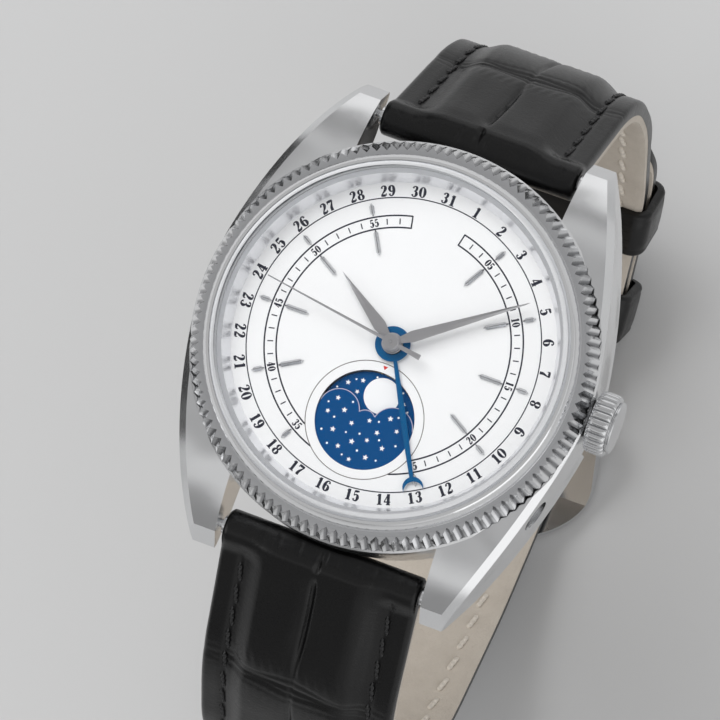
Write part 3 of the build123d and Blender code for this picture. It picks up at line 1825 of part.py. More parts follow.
def strap_taper():
    """Prism that narrows the strap from the lugs to the buckle."""
    top = spring_bar_z + 2 * strap_roll_radius
    wide = strap_width / 2
    narrow = strap_buckle_width / 2
    outline = make_face(
        Polyline((-wide, top), (wide, top), (wide, spring_bar_z), (narrow, floor_height),
                 (-narrow, floor_height), (-wide, spring_bar_z), close=True)
    )
    return extrude(Plane.XZ * outline, loop_reach_12 + loop_reach_6, both=True)


def roll(place, radius):
    """Round end of the strap about a bar."""
    return Pos(0, *place) * (Plane.YZ * extrude(Circle(radius), strap_width, both=True))


def upper_route():
    """Seam line of the 12 o'clock strap, from its spring bar to the buckle's bar."""
    corners = route(upper_route_shares, loop_reach_12)
    return [(spring_bar_y, spring_bar_z), *corners, (buckle_bar_y, buckle_bar_height())]


def upper_leather_offsets():
    """Thickness of the 12 o'clock strap's leather at each corner."""
    mid, tail = leather_mid_thickness, leather_tail_thickness
    return [strap_roll_radius, mid, mid, tail, tail, tail]


def strap_upper_leather():
    """Outer leather of the 12 o'clock strap, rolled round both bars."""
    points = upper_route()
    band = layer(points, upper_bend_radii, [0] * len(points), upper_leather_offsets())
    band += roll(points[0], strap_roll_radius) + roll(points[-1], buckle_loop_radius)
    band &= strap_taper()
    band -= roll(points[0], spring_bar_radius + strap_loop_clearance)
    band -= roll(points[-1], buckle_bar_radius + running_clearance)
    eye_room = tang_eye_radius + layer_gap
    slot = Box(tang_width + layer_gap, 2 * eye_room + layer_gap, 4 * eye_room)
    return band - Pos(0, buckle_bar_y - layer_gap / 2, buckle_bar_height()) * slot


def strap_upper_lining():
    """Pale lining of the 12 o'clock strap."""
    points = upper_route()
    mid = -lining_lug_thickness
    tail = -lining_tail_thickness
    band = layer(points, upper_bend_radii, [mid, mid, mid, tail, tail, tail], [0] * len(points))
    band &= strap_taper()
    band -= roll(points[0], strap_roll_radius)
    return band - roll(points[-1], buckle_loop_radius + tang_eye_radius - buckle_bar_radius)


def lower_route():
    """Seam line of the 6 o'clock strap, through the buckle and over the other strap."""
    corners = route(lower_route_shares, loop_reach_6)
    points = [(-spring_bar_y, spring_bar_z)] + [(-y, z) for y, z in corners]
    points.append((-buckle_pass_y, floor_height + buckle_pass_height))
    points.append((buckle_bar_y - buckle_loop_radius, tail_seam_height()))
    stack = strap_stack()
    upper = upper_route()
    lifted = [0, stack, stack + leather_mid_thickness - leather_tail_thickness, stack, stack, stack]
    outside = shifted(upper, lifted)
    points.append(outside[4])
    points.append(outside[3])
    end = [
        low + (high - low) * tail_end_share for low, high in zip(outside[3], outside[2])
    ]
    points.append(tuple(end))
    return points


def lower_radii():
    """Bend radii of the 6 o'clock strap's route."""
    stack = strap_stack()
    return (*lower_bend_radii, *buckle_bend_radii, upper_bend_radii[3] + stack, upper_bend_radii[2] + stack)


def lower_offsets(lug_end, middle, tail):
    """Thickness of a layer of the 6 o'clock strap at each corner of its route."""
    thick = [lug_end] + [middle] * strap_thick_corners
    return thick + [tail] * (len(lower_route()) - len(thick))


def strap_holes():
    """The slot for the tang and the spare holes along the tail."""
    length = tang_slot_start_y - tang_slot_end_y
    middle = (tang_slot_start_y + tang_slot_end_y) / 2
    cut = Pos(0, middle, tail_seam_height()) * Box(
        tang_slot_width, length, 2 * buckle_rim_height + 2 * cut_overrun
    )
    path = FilletPolyline(*[(0, y, z) for y, z in lower_route()], radius=lower_radii())
    half = leather_tail_thickness + lining_tail_thickness
    start = path.param_at_point((0, buckle_bar_y, tail_seam_height())) * path.length
    for index in range(spare_hole_count):
        distance = start + spare_hole_pitch * (index + 0.5)
        point = path.position_at(distance, position_mode=PositionMode.LENGTH)
        direction = path.tangent_at(distance, position_mode=PositionMode.LENGTH)
        frame = Plane(origin=point, x_dir=(1, 0, 0), z_dir=direction.cross(Vector(1, 0, 0)))
        cut += frame * extrude(Circle(spare_hole_radius), half, both=True)
    return cut


def mirrored_layer(inner, outer):
    """Layer of the 6 o'clock strap, worked out with its route seen from the other side."""
    points = [(-y, z) for y, z in lower_route()]
    band = layer(points, lower_radii(), inner, outer)
    return mirror(band, about=Plane.XZ) & strap_taper()


def strap_lower_leather():
    """Outer leather of the 6 o'clock strap, with its holes."""
    outer = lower_offsets(strap_roll_radius, leather_mid_thickness, leather_tail_thickness)
    band = mirrored_layer([0] * len(outer), outer)
    bar = (-spring_bar_y, spring_bar_z)
    band += roll(bar, strap_roll_radius) & strap_taper()
    band -= roll(bar, spring_bar_radius + strap_loop_clearance)
    return band - strap_holes()


def strap_lower_lining():
    """Pale lining of the 6 o'clock strap, with its holes."""
    inner = lower_offsets(-lining_lug_thickness, -lining_lug_thickness, -lining_tail_thickness)
    band = mirrored_layer(inner, [0] * len(inner))
    band -= roll((-spring_bar_y, spring_bar_z), strap_roll_radius)
    return band - strap_holes()


def half_width_at(height):
    """Half of the strap's width at a height."""
    share = (spring_bar_z - height) / (spring_bar_z - floor_height)
    return (strap_width + (strap_buckle_width - strap_width) * share) / 2


def keeper(share):
    """Leather loop round both straps at a share of the 12 o'clock strap's route."""
    path = FilletPolyline(*[(0, y, z) for y, z in upper_route()], radius=upper_bend_radii)
    point, direction = path @ share, path % share
    outward = Vector(1, 0, 0).cross(direction)
    low = -lining_tail_thickness
    high = strap_stack() + leather_tail_thickness
    inner = Rectangle(
        2 * (half_width_at(point.Z) + keeper_clearance), high - low + 2 * keeper_clearance
    )
    outer = Rectangle(
        2 * (half_width_at(point.Z) + keeper_clearance + keeper_wall),
        high - low + 2 * (keeper_clearance + keeper_wall),
    )
    origin = point + outward * ((high + low) / 2)
    frame = Plane(origin=origin, x_dir=(1, 0, 0), z_dir=direction)
    return frame * extrude(outer - inner, keeper_width / 2, both=True)


def fixed_keeper():
    """Keeper next to the buckle."""
    return keeper(fixed_keeper_share)


def loose_keeper():
    """Keeper that slides to hold the tail."""
    return keeper(loose_keeper_share)


def buckle_plan():
    """Outline of the buckle seen from below: two arms and a bowed rim."""
    rim = Pos(0, buckle_rim_centre_y) * Ellipse(buckle_half_width, buckle_rim_reach)
    hole = Pos(0, buckle_rim_centre_y) * Ellipse(buckle_inner_half_width, buckle_rim_inner_reach)
    length = buckle_end_y - buckle_rim_centre_y
    front = Pos(0, -buckle_rim_reach + buckle_rim_centre_y) * Rectangle(
        2 * buckle_half_width, 2 * buckle_rim_reach
    )
    arms = make_face(
        Polyline(
            (-buckle_half_width, buckle_rim_centre_y),
            (buckle_half_width, buckle_rim_centre_y),
            (buckle_end_half_width, buckle_end_y),
            (-buckle_end_half_width, buckle_end_y),
            close=True,
        )
    )
    gap = Pos(0, buckle_rim_centre_y + length / 2 + cut_overrun / 2) * Rectangle(
        2 * buckle_inner_half_width, length + cut_overrun
    )
    return (rim & front) + arms - hole - gap


def buckle_side():
    """Side outline of the buckle: flat below, thin under the strap, raised at the bar."""
    reach = buckle_rim_centre_y - buckle_rim_reach
    bar = buckle_bar_height()
    return make_face(
        Polyline(
            (reach, floor_height),
            (buckle_arm_foot_y, floor_height),
            (buckle_end_y, bar - buckle_arm_drop),
            (buckle_end_y, bar + buckle_arm_top),
            (buckle_bar_y - buckle_arm_top, bar + buckle_arm_top),
            (buckle_arm_start_y, floor_height + buckle_rim_thin_height),
            (reach, floor_height + buckle_rim_height),
            close=True,
        )
    )


def buckle_frame():
    """Steel buckle frame with holes for its bar and a rest for the tang."""
    plan = Pos(0, 0, floor_height - cut_overrun) * extrude(buckle_plan(), loop_depth())
    body = plan & (Plane.YZ * extrude(buckle_side(), buckle_half_width, both=True))
    body -= roll((buckle_bar_y, buckle_bar_height()), buckle_bar_radius + seat_clearance)
    notch_height = tang_thickness + tang_notch_clearance
    notch = Box(tang_width + 2 * tang_notch_clearance, 2 * buckle_rim_reach, 2 * notch_height)
    return body - Pos(0, buckle_rim_centre_y - buckle_rim_reach, floor_height) * notch


def buckle_bar():
    """Bar of the buckle, through the frame, the strap's end and the tang."""
    bar = Plane.YZ * extrude(Circle(buckle_bar_radius), buckle_end_half_width - seat_clearance, both=True)
    return Pos(0, buckle_bar_y, buckle_bar_height()) * bar


def buckle_tang():
    """Tang that turns on the bar, dips through the strap and rests in the rim."""
    bar = buckle_bar_height()
    half = tang_thickness / 2
    rim = buckle_rim_centre_y - buckle_rim_reach
    bend = (tang_bend_y, bar - tang_bend_drop)
    landing = (rim + buckle_rim_height, floor_height + half)
    tip = (rim - tang_tip_overhang, floor_height + half)
    centre = [(buckle_bar_y, bar), bend, landing, tip]
    mitres = normals(centre)
    over = [(y + half * across, z + half * up) for (y, z), (across, up) in zip(centre, mitres)]
    under = [(y - half * across, z - half * up) for (y, z), (across, up) in zip(centre, mitres)]
    outline = make_face(Polyline(*over, *reversed(under), close=True))
    body = extrude(Plane.YZ * outline, tang_width / 2, both=True)
    eye = Plane.YZ * extrude(Circle(tang_eye_radius), tang_width / 2, both=True)
    body += Pos(0, buckle_bar_y, bar) * eye
    return body - roll((buckle_bar_y, bar), buckle_bar_radius + running_clearance)


# Nodes and their files

NODES = {
    "mid_case": mid_case,
    "bezel": bezel,
    "crystal": crystal,
    "crystal_gasket": crystal_gasket,
    "rehaut": rehaut,
    "case_back": case_back,
    "back_crystal": back_crystal,
    "case_back_gasket": case_back_gasket,
    "crown": crown,
    "crown_tube": crown_tube,
    "crown_gasket": crown_gasket,
    "stem": stem,
    "moon_corrector": moon_corrector,
    "corrector_spring": corrector_spring,
    "spring_bars": spring_bars,
    "dial": dial,
    "hour_markers": hour_markers,
    "moon_cover": moon_cover,
    "moon_disc": moon_disc,
    "date_wheel": date_wheel,
    "hour_wheel": hour_wheel,
    "cannon_pinion": cannon_pinion,
    "minute_wheel": minute_wheel,
    "calendar_wheel": calendar_wheel,
    "hour_hand": hour_hand,
    "minute_hand": minute_hand,
    "second_hand": second_hand,
    "date_hand": date_hand,
    "main_plate": main_plate,
    "train_bridge": train_bridge,
    "balance_cock": balance_cock,
    "jewels": jewels,
    "bridge_screws": bridge_screws,
    "movement_holder": movement_holder,
    "barrel": barrel,
    "mainspring": mainspring,
    "centre_wheel": centre_wheel,
    "third_wheel": third_wheel,
    "fourth_wheel": fourth_wheel,
    "escape_wheel": escape_wheel,
    "pallet_fork": pallet_fork,
    "balance_wheel": balance_wheel,
    "hairspring": hairspring,
    "ratchet_wheel": ratchet_wheel,
    "crown_wheel": crown_wheel,
    "click": click,
    "winding_pinion": winding_pinion,
    "sliding_pinion": sliding_pinion,
    "setting_lever": setting_lever,
    "rotor": rotor,
    "rotor_bearing": rotor_bearing,
    "strap_upper_leather": strap_upper_leather,
    "strap_upper_lining": strap_upper_lining,
    "strap_lower_leather": strap_lower_leather,
    "strap_lower_lining": strap_lower_lining,
    "fixed_keeper": fixed_keeper,
    "loose_keeper": loose_keeper,
    "buckle_frame": buckle_frame,
    "buckle_bar": buckle_bar,
    "buckle_tang": buckle_tang,
}


def write_nodes():
    """Builds each node and writes its file."""
    os.makedirs("parts", exist_ok=True)
    for name, build in NODES.items():
        made = build()
        shape = Compound(children=made) if isinstance(made, list) else made
        export_step(shape, os.path.join("parts", name + ".step"))
        print(name, len(shape.solids()), round(shape.volume, 3))


write_nodes()
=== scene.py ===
"""Looks of the moon phase watch: printed dial, hands, leather strap and finishes, built round the frame."""

import enum
import logging
import math
from dataclasses import dataclass, field

import bpy
import numpy as np
from mathutils import Matrix, Vector


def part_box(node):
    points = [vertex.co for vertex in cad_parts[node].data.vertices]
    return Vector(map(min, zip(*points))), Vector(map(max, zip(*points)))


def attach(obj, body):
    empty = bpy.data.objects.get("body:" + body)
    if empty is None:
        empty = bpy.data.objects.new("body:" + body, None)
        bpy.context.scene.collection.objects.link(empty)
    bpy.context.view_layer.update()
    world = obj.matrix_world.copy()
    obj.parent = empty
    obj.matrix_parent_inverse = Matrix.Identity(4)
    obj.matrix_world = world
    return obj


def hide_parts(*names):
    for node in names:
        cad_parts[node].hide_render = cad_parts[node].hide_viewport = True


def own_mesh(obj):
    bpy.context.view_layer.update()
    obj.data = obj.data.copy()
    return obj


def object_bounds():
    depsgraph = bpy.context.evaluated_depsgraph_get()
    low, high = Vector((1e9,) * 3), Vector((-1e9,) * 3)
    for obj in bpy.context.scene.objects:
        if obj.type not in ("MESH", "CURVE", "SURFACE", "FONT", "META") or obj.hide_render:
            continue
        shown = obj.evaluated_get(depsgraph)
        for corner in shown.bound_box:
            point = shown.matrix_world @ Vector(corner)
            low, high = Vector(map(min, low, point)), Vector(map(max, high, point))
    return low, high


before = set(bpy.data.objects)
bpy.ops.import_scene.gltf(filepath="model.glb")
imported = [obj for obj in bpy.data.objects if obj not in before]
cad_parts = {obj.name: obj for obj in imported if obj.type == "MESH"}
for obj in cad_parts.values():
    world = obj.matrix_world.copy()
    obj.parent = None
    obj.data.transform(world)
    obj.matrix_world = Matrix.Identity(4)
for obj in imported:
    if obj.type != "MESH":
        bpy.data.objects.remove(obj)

log = logging.getLogger("watch")
MM = 0.001
Array = np.ndarray
Material = bpy.types.Material
Colour = tuple[float, float, float]
Pair = tuple[float, float]
Triple = tuple[float, float, float]
CAD_BOX = [list(corner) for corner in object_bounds()]
DIAL_TOP = 9.0
HAND_ANGLES = {"hour": 304.8, "minute": 54.2, "second": 278.6, "date": 13 * 360 / 31}
MOON_MIDDLE: Pair = (0.0, -7.73)
PRINT_SUNK = 0.02


# Shader sums


class Value:
    """A number, colour or vector on a socket, with the operators that shader sums use."""

    def __init__(self, graph: "Graph", socket: bpy.types.NodeSocket) -> None:
        """Wraps one output socket of a graph."""
        self.graph, self.socket = graph, socket

    def __add__(self, other: "Value | float") -> "Value":
        """Sum."""
        return self.graph.math("ADD", self, other)

    __radd__ = __add__

    def __sub__(self, other: "Value | float") -> "Value":
        """Difference."""
        return self.graph.math("SUBTRACT", self, other)

    def __rsub__(self, other: float) -> "Value":
        """Difference from a plain number."""
        return self.graph.math("SUBTRACT", other, self)

    def __mul__(self, other: "Value | float") -> "Value":
        """Product."""
        return self.graph.math("MULTIPLY", self, other)

    __rmul__ = __mul__

    def __truediv__(self, other: "Value | float") -> "Value":
        """Quotient."""
        return self.graph.math("DIVIDE", self, other)

    def sine(self) -> "Value":
        """Sine of an angle in radians."""
        return self.graph.math("SINE", self)

    def step(self, low: float, high: float) -> "Value":
        """Smooth step from 0 at low to 1 at high."""
        inputs = {0: self, 1: low, 2: high, 3: 0.0, 4: 1.0}
        return self.graph.value("ShaderNodeMapRange", inputs, interpolation_type="SMOOTHSTEP")

    def scaled(self, x: float, y: float, z: float) -> "Value":
        """Vector times (x, y, z)."""
        return self.graph.value("ShaderNodeVectorMath", {0: self, 1: (x, y, z)}, operation="MULTIPLY")

    def parts(self) -> "tuple[Value, Value, Value]":
        """The three numbers of a vector."""
        made = self.graph.node("ShaderNodeSeparateXYZ", {0: self})
        return tuple(Value(self.graph, made.outputs[index]) for index in range(3))


class Graph:
    """The node tree of one finish, or of the world."""

    def __init__(self, name: str, world: bool = False) -> None:
        """Starts an empty material or world of that name."""
        self.material = bpy.data.worlds.new(name) if world else bpy.data.materials.new(name)
        self.material.use_nodes = True
        self.tree = self.material.node_tree
        self.tree.nodes.clear()

    def node(self, kind: str, sockets: dict, **settings: str) -> bpy.types.Node:
        """Makes one node.

        Args:
            kind: Blender's name of the node type.
            sockets: input names or indices, each with a Value, a shader node or a constant.
            settings: properties of the node, set before the sockets.

        Returns:
            The node.
        """
        made = self.tree.nodes.new(kind)
        for key, setting in settings.items():
            setattr(made, key, setting)
        for key, value in sockets.items():
            if isinstance(value, Value):
                self.tree.links.new(value.socket, made.inputs[key])
            elif isinstance(value, bpy.types.Node):
                self.tree.links.new(value.outputs[0], made.inputs[key])
            else:
                made.inputs[key].default_value = value
        return made

    def value(self, kind: str, sockets: dict, **settings: str) -> Value:
        """Makes one node and returns its first output."""
        return Value(self, self.node(kind, sockets, **settings).outputs[0])

    def math(self, operation: str, *terms: Value | float) -> Value:
        """Returns a Math node of those terms."""
        return self.value("ShaderNodeMath", dict(enumerate(terms)), operation=operation)

    def place(self) -> Value:
        """Object coordinates in millimetres."""
        made = self.node("ShaderNodeTexCoord", {})
        return Value(self, made.outputs["Object"]).scaled(1 / MM, 1 / MM, 1 / MM)

    def wrap(self) -> Value:
        """The piece's own UV map, in millimetres across and along it."""
        return Value(self, self.node("ShaderNodeTexCoord", {}).outputs["UV"])

    def reach(self, x: Value, y: Value) -> Value:
        """Distance from the vertical axis."""
        return self.math("POWER", x * x + y * y, 0.5)

    def vector(self, x: Value | float, y: Value | float, z: Value | float) -> Value:
        """Joins three numbers into a vector."""
        return self.value("ShaderNodeCombineXYZ", {0: x, 1: y, 2: z})

    def noise(self, at: Value, scale: float, detail: float = 2.0, rough: float = 0.5) -> Value:
        """Smooth noise about 0.5, with features 1/scale long."""
        inputs = {"Vector": at, "Scale": scale, "Detail": detail, "Roughness": rough}
        return self.value("ShaderNodeTexNoise", inputs)

    def cells(self, at: Value, scale: float) -> Value:
        """Distance to the nearest of scattered points, 1/scale apart."""
        return self.value("ShaderNodeTexVoronoi", {"Vector": at, "Scale": scale})

    def mix(self, share: Value, first: Value | Colour, second: Value | Colour) -> Value:
        """Blends two colours."""
        ends = [end if isinstance(end, Value) else (*end, 1.0) for end in (first, second)]
        made = self.node("ShaderNodeMix", {0: share, 6: ends[0], 7: ends[1]}, data_type="RGBA")
        return Value(self, made.outputs[2])

    def bump(self, height: Value, rise: float) -> Value:
        """Normal of a surface raised by height times rise millimetres."""
        return self.value("ShaderNodeBump", {"Strength": 1.0, "Distance": rise * MM, "Height": height})

    def close(self, shader: bpy.types.Node, kind: str = "ShaderNodeOutputMaterial") -> Material:
        """Ends the tree with that shader and returns the material or world."""
        self.node(kind, {0: shader})
        return self.material

    def surface(self, sockets: dict) -> Material:
        """Ends the tree with a Principled shader of those sockets."""
        return self.close(self.node("ShaderNodeBsdfPrincipled", sockets))


# Finishes


class Grain(enum.Enum):
    """How a metal's fine lines run."""

    NONE = 0
    ROUND = 1
    RAYS = 2
    LENGTHWISE = 3


@dataclass(frozen=True)
class Metal:
    """Polished or brushed metal with fine lines, faint smudges and, on large parts, a slow wave."""

    name: str
    colour: Colour = (0.72, 0.725, 0.735)
    roughness: float = 0.1
    grain: Grain = Grain.NONE
    line_scale: float = 14.0
    line_rise: float = 0.004
    direction: float = 0.0
    wave: float = 0.0
    smudge_scale: float = 0.22
    smudge_shade: float = 0.94
    wave_scale: float = 0.11

    def drawn(self, graph: Graph, at: Value) -> Value:
        """Coordinates drawn out along circles, rays or one direction about the vertical axis."""
        x, y, z = at.parts()
        fine = self.line_scale
        if self.grain is Grain.ROUND:
            return graph.vector(graph.reach(x, y) * fine, z * fine, 0.0)
        if self.grain is Grain.RAYS:
            return graph.vector(graph.math("ARCTAN2", x, y) * fine * 9, graph.reach(x, y) * 0.25, z)
        if self.grain is Grain.LENGTHWISE:
            ahead, aside = math.cos(self.direction), math.sin(self.direction)
            return graph.vector((y * ahead - x * aside) * fine, (x * ahead + y * aside) * 0.4, z * fine)
        return at.scaled(fine, fine, fine)

    def make(self) -> Material:
        """Returns the material."""
        graph = Graph(self.name)
        at = graph.place()
        smudge = graph.noise(at, self.smudge_scale, 3.0)
        lines = graph.noise(self.drawn(graph, at), 1.0, 3.0)
        height = lines * self.line_rise
        if self.wave:
            height = height + graph.noise(at, self.wave_scale, 1.0) * self.wave
        return graph.surface({
            "Base Color": graph.mix(smudge, tuple(c * self.smudge_shade for c in self.colour), self.colour),
            "Metallic": 1.0,
            "Roughness": self.roughness * (0.75 + 0.5 * smudge) + (lines - 0.5) * self.roughness * 0.6,
            "Normal": graph.bump(height, 1.0),
        })


@dataclass(frozen=True)
class FlutedSteel:
    """Bezel steel: polished flutes with painted shade darkening their valleys, a polished ring and a matt
    land between them.
    """

    name: str
    land_start: float = 18.28
    land_low: float = 10.1
    flutes: float = 120.0
    bright: Colour = (0.84, 0.845, 0.855)
    # colour of the painted shade in the flute valleys
    hollow: Colour = (0.3, 0.303, 0.312)
    matt: Colour = (0.56, 0.565, 0.58)
    polish: float = 0.08
    land_matt: float = 0.26
    rise: float = 0.006

    def make(self) -> Material:
        """The land lies beyond its starting radius near the top, and the flutes below and outside it."""
        graph = Graph(self.name)
        at = graph.place()
        x, y, z = at.parts()
        reach = graph.reach(x, y)
        land = (reach.step(self.land_start - 0.03, self.land_start)
                * z.step(self.land_low, self.land_low + 0.06))
        flute = reach.step(self.land_start, self.land_start + 0.1) * (1.0 - land)
        lines = graph.noise(graph.vector(reach * 20.0, z * 8.0, 0.0), 1.0, 3.0)
        grit = graph.noise(at, 30.0, 3.0)
        crest = (graph.math("ARCTAN2", y, x) * self.flutes + math.pi / 2).sine()
        # Painted shade: the colour falls to the dark valley colour between each pair of flute crests.
        hollow = flute * (0.5 - 0.5 * crest).step(0.25, 0.95)
        return graph.surface({
            "Base Color": graph.mix(land, graph.mix(hollow, self.bright, self.hollow), self.matt),
            "Metallic": 1.0,
            "Roughness": (self.polish + self.land_matt * land + 0.06 * flute
                          + 0.05 * graph.noise(at, 0.3, 2.0)),
            "Normal": graph.bump(lines * 0.2 + grit * land * 0.8, self.rise),
        })


@dataclass(frozen=True)
class Paint:
    """Paint, print, rubber or ruby: a colour with a faint mottle and a clear coat."""

    name: str
    colour: Colour
    shade: Colour
    roughness: float = 0.4
    mottle_scale: float = 6.0
    rise: float = 0.003
    coat: float = 0.3
    specular: float = 0.5
    coat_roughness: float = 0.08
    detail: float = 4.0
    coarse: float = 0.6
    spread: Pair = (0.8, 0.4)

    def make(self) -> Material:
        """Returns the material; its roughness swings by the spread with the mottle."""
        graph = Graph(self.name)
        mottle = graph.noise(graph.place(), self.mottle_scale, self.detail, self.coarse)
        return graph.surface({
            "Base Color": graph.mix(mottle, self.shade, self.colour), "Specular IOR Level": self.specular,
            "Roughness": self.roughness * (self.spread[0] + self.spread[1] * mottle),
            "Coat Weight": self.coat, "Coat Roughness": self.coat_roughness,
            "Normal": graph.bump(mottle, self.rise),
        })


@dataclass(frozen=True)
class Glass:
    """Coated sapphire: clear, with faint reflections and a pale rim painted on as a highlight."""

    name: str
    rim: float
    tint: Colour = (0.996, 0.998, 1.0)
    pale: Colour = (0.86, 0.87, 0.885)
    mirrored: Colour = (0.9, 0.93, 1.0)
    index: float = 1.22
    most: float = 0.2
    gloss: float = 0.03

    def make(self) -> Material:
        """Mixes a clear shader with a white diffuse one beyond the rim, a painted highlight for the
        crystal's edge, and both with a glossy one by Fresnel.

        The glossy share stays under its most, or the inner faces would mirror everything at low angles.
        """
        graph = Graph(self.name)
        at = graph.place()
        smudge = graph.noise(at, 0.15, 2.0)
        x, y, _ = at.parts()
        # Painted highlight: beyond the rim a white diffuse shader stands for the bright edge of the crystal.
        edge = graph.reach(x, y).step(self.rim - 0.06, self.rim + 0.06)
        clear = graph.node("ShaderNodeBsdfTransparent", {"Color": (*self.tint, 1.0)})
        pale = graph.node("ShaderNodeBsdfDiffuse", {"Color": (*self.pale, 1.0)})
        body = graph.node("ShaderNodeMixShader", {0: edge * (0.5 + 0.3 * smudge), 1: clear, 2: pale})
        gloss = graph.node("ShaderNodeBsdfGlossy", {"Color": (*self.mirrored, 1.0), "Roughness": self.gloss})
        facing = graph.math("MINIMUM", graph.value("ShaderNodeFresnel", {"IOR": self.index}), self.most)
        share = facing * (0.75 + 0.15 * smudge)
        return graph.close(graph.node("ShaderNodeMixShader", {0: share, 1: body, 2: gloss}))


@dataclass(frozen=True)
class Hide:
    """Embossed leather: pores, fine wrinkles and a slightly uneven gloss."""

    name: str
    colour: Colour = (0.002, 0.002, 0.0022)
    worn: Colour = (0.006, 0.0059, 0.006)
    roughness: float = 0.3
    specular: float = 0.3
    coat: float = 0.08
    coat_roughness: float = 0.18
    pore_scale: float = 5.5
    rise: float = 0.02

    def make(self) -> Material:
        """Pores come from cells and wrinkles from noise drawn out across the strap."""
        graph = Graph(self.name)
        at = graph.wrap()
        pores = graph.cells(at, self.pore_scale)
        wrinkles = graph.noise(at.scaled(1.1, 2.4, 1.0), 1.0, 4.0, 0.6)
        cloud = graph.noise(at, 0.12, 3.0)
        return graph.surface({
            "Base Color": graph.mix(cloud * wrinkles, self.colour, self.worn),
            "Roughness": self.roughness * (0.7 + 0.35 * pores + 0.3 * cloud),
            "Specular IOR Level": self.specular, "Coat Weight": self.coat,
            "Coat Roughness": self.coat_roughness, "Normal": graph.bump(pores * 0.35 + wrinkles, self.rise),
        })


@dataclass(frozen=True)
class Suede:
    """Smooth lining leather: pale, matt, with pores and faint wrinkles."""

    name: str
    colour: Colour = (0.60, 0.545, 0.475)
    shade: Colour = (0.45, 0.40, 0.345)
    roughness: float = 0.62
    specular: float = 0.35
    pore_scale: float = 3.5
    rise: float = 0.06

    def make(self) -> Material:
        """Returns the material."""
        graph = Graph(self.name)
        at = graph.wrap()
        pores = graph.cells(at, self.pore_scale)
        return graph.surface({
            "Base Color": graph.mix(graph.noise(at, 0.3, 4.0, 0.6), self.shade, self.colour),
            "Roughness": self.roughness + 0.16 * pores, "Specular IOR Level": self.specular,
            "Normal": graph.bump(pores * 0.5 + graph.noise(at, 2.0, 4.0), self.rise),
        })


@dataclass(frozen=True)
class Thread:
    """Twisted thread: slanted ridges along each stitch, with painted shade darkening the grooves between
    them.
    """

    name: str
    colour: Colour
    # share of the colour left in the grooves between ridges: painted shade
    shade: float = 0.5
    twist: float = 0.3
    rise: float = 0.03
    roughness: float = 0.36

    def make(self) -> Material:
        """Ridges are a sine of the distance along the stitch plus the turn round it; the colour darkens into
        each groove between them, as painted shade.
        """
        graph = Graph(self.name)
        u, v, _ = graph.wrap().parts()
        ridges = ((v / self.twist + u) * math.tau).sine() * 0.5 + 0.5
        return graph.surface({
            "Base Color": graph.mix(ridges, tuple(c * self.shade for c in self.colour), self.colour),
            "Roughness": self.roughness + 0.2 * ridges, "Normal": graph.bump(ridges, self.rise),
        })


@dataclass(frozen=True)
class StripedPlate:
    """Movement plate with broad straight waves across it, each darker towards its low side as painted shade,
    and a fine brushed grain in each.
    """

    name: str
    colour: Colour = (0.66, 0.655, 0.65)
    pitch: float = 1.9
    direction: float = 0.6
    rise: float = 0.02

    def make(self) -> Material:
        """The waves are a sawtooth of the distance across them; each wave's colour falls to 0.8 of itself at
        its low side, as painted shade.
        """
        graph = Graph(self.name)
        x, y, z = graph.place().parts()
        ahead, aside = math.cos(self.direction), math.sin(self.direction)
        across, along = x * ahead + y * aside, y * ahead - x * aside
        wave = graph.math("FRACT", across / self.pitch)
        grain = graph.noise(graph.vector(across * 2.0, along * 26.0, z * 9.0), 1.0, 3.0)
        return graph.surface({
            "Base Color": graph.mix(wave, tuple(c * 0.8 for c in self.colour), self.colour), "Metallic": 1.0,
            "Roughness": 0.2 + 0.16 * wave + 0.1 * grain,
            "Normal": graph.bump(wave * 2.0 + grain * 0.3, self.rise),
        })


# Surfaces


def grid(*axes: Array | float) -> Array:
    """Joins coordinates of any shapes that fit together into points."""
    return np.stack(np.broadcast_arrays(*axes), -1).astype(float)


def around(count: int) -> Array:
    """That many even angles round a circle."""
    return np.arange(count) * math.tau / count


def soft_step(value: Array, low: float, high: float) -> Array:
    """Smooth step from 0 at low to 1 at high."""
    share = np.clip((value - low) / (high - low), 0, 1)
    return share * share * (3 - 2 * share)


def hump(value: Array, width: float) -> Array:
    """Bell curve exp(-(value/width)^2)."""
    return np.exp(-((value / width) ** 2))


def rolled(inset: Array, width: float = 0.45, depth: float = 0.3) -> Array:
    """Depth of an edge's rounding at a distance from the edge: a quarter ellipse."""
    return depth * (1 - np.sqrt(np.clip(1 - (1 - np.clip(inset / width, 0, 1)) ** 2, 0, 1)))


def clock_point(turn: float, reach: float) -> Pair:
    """Point at that clockwise angle in degrees from 12 o'clock."""
    return reach * math.sin(math.radians(turn)), reach * math.cos(math.radians(turn))


def smooth_path(points: Array, count: int) -> Array:
    """Catmull-Rom curve through points with any number of columns, at evenly spaced parameters."""
    padded = np.concatenate([2 * points[:1] - points[1:2], points, 2 * points[-1:] - points[-2:-1]])
    where = np.linspace(0, len(points) - 1, count)
    index = np.minimum(where.astype(int), len(points) - 2)
    t = (where - index)[:, None]
    p0, p1, p2, p3 = (padded[index + k] for k in range(4))
    square, cube = 2 * p0 - 5 * p1 + 4 * p2 - p3, 3 * p1 - p0 - 3 * p2 + p3
    return 0.5 * (2 * p1 + (p2 - p0) * t + square * t**2 + cube * t**3)


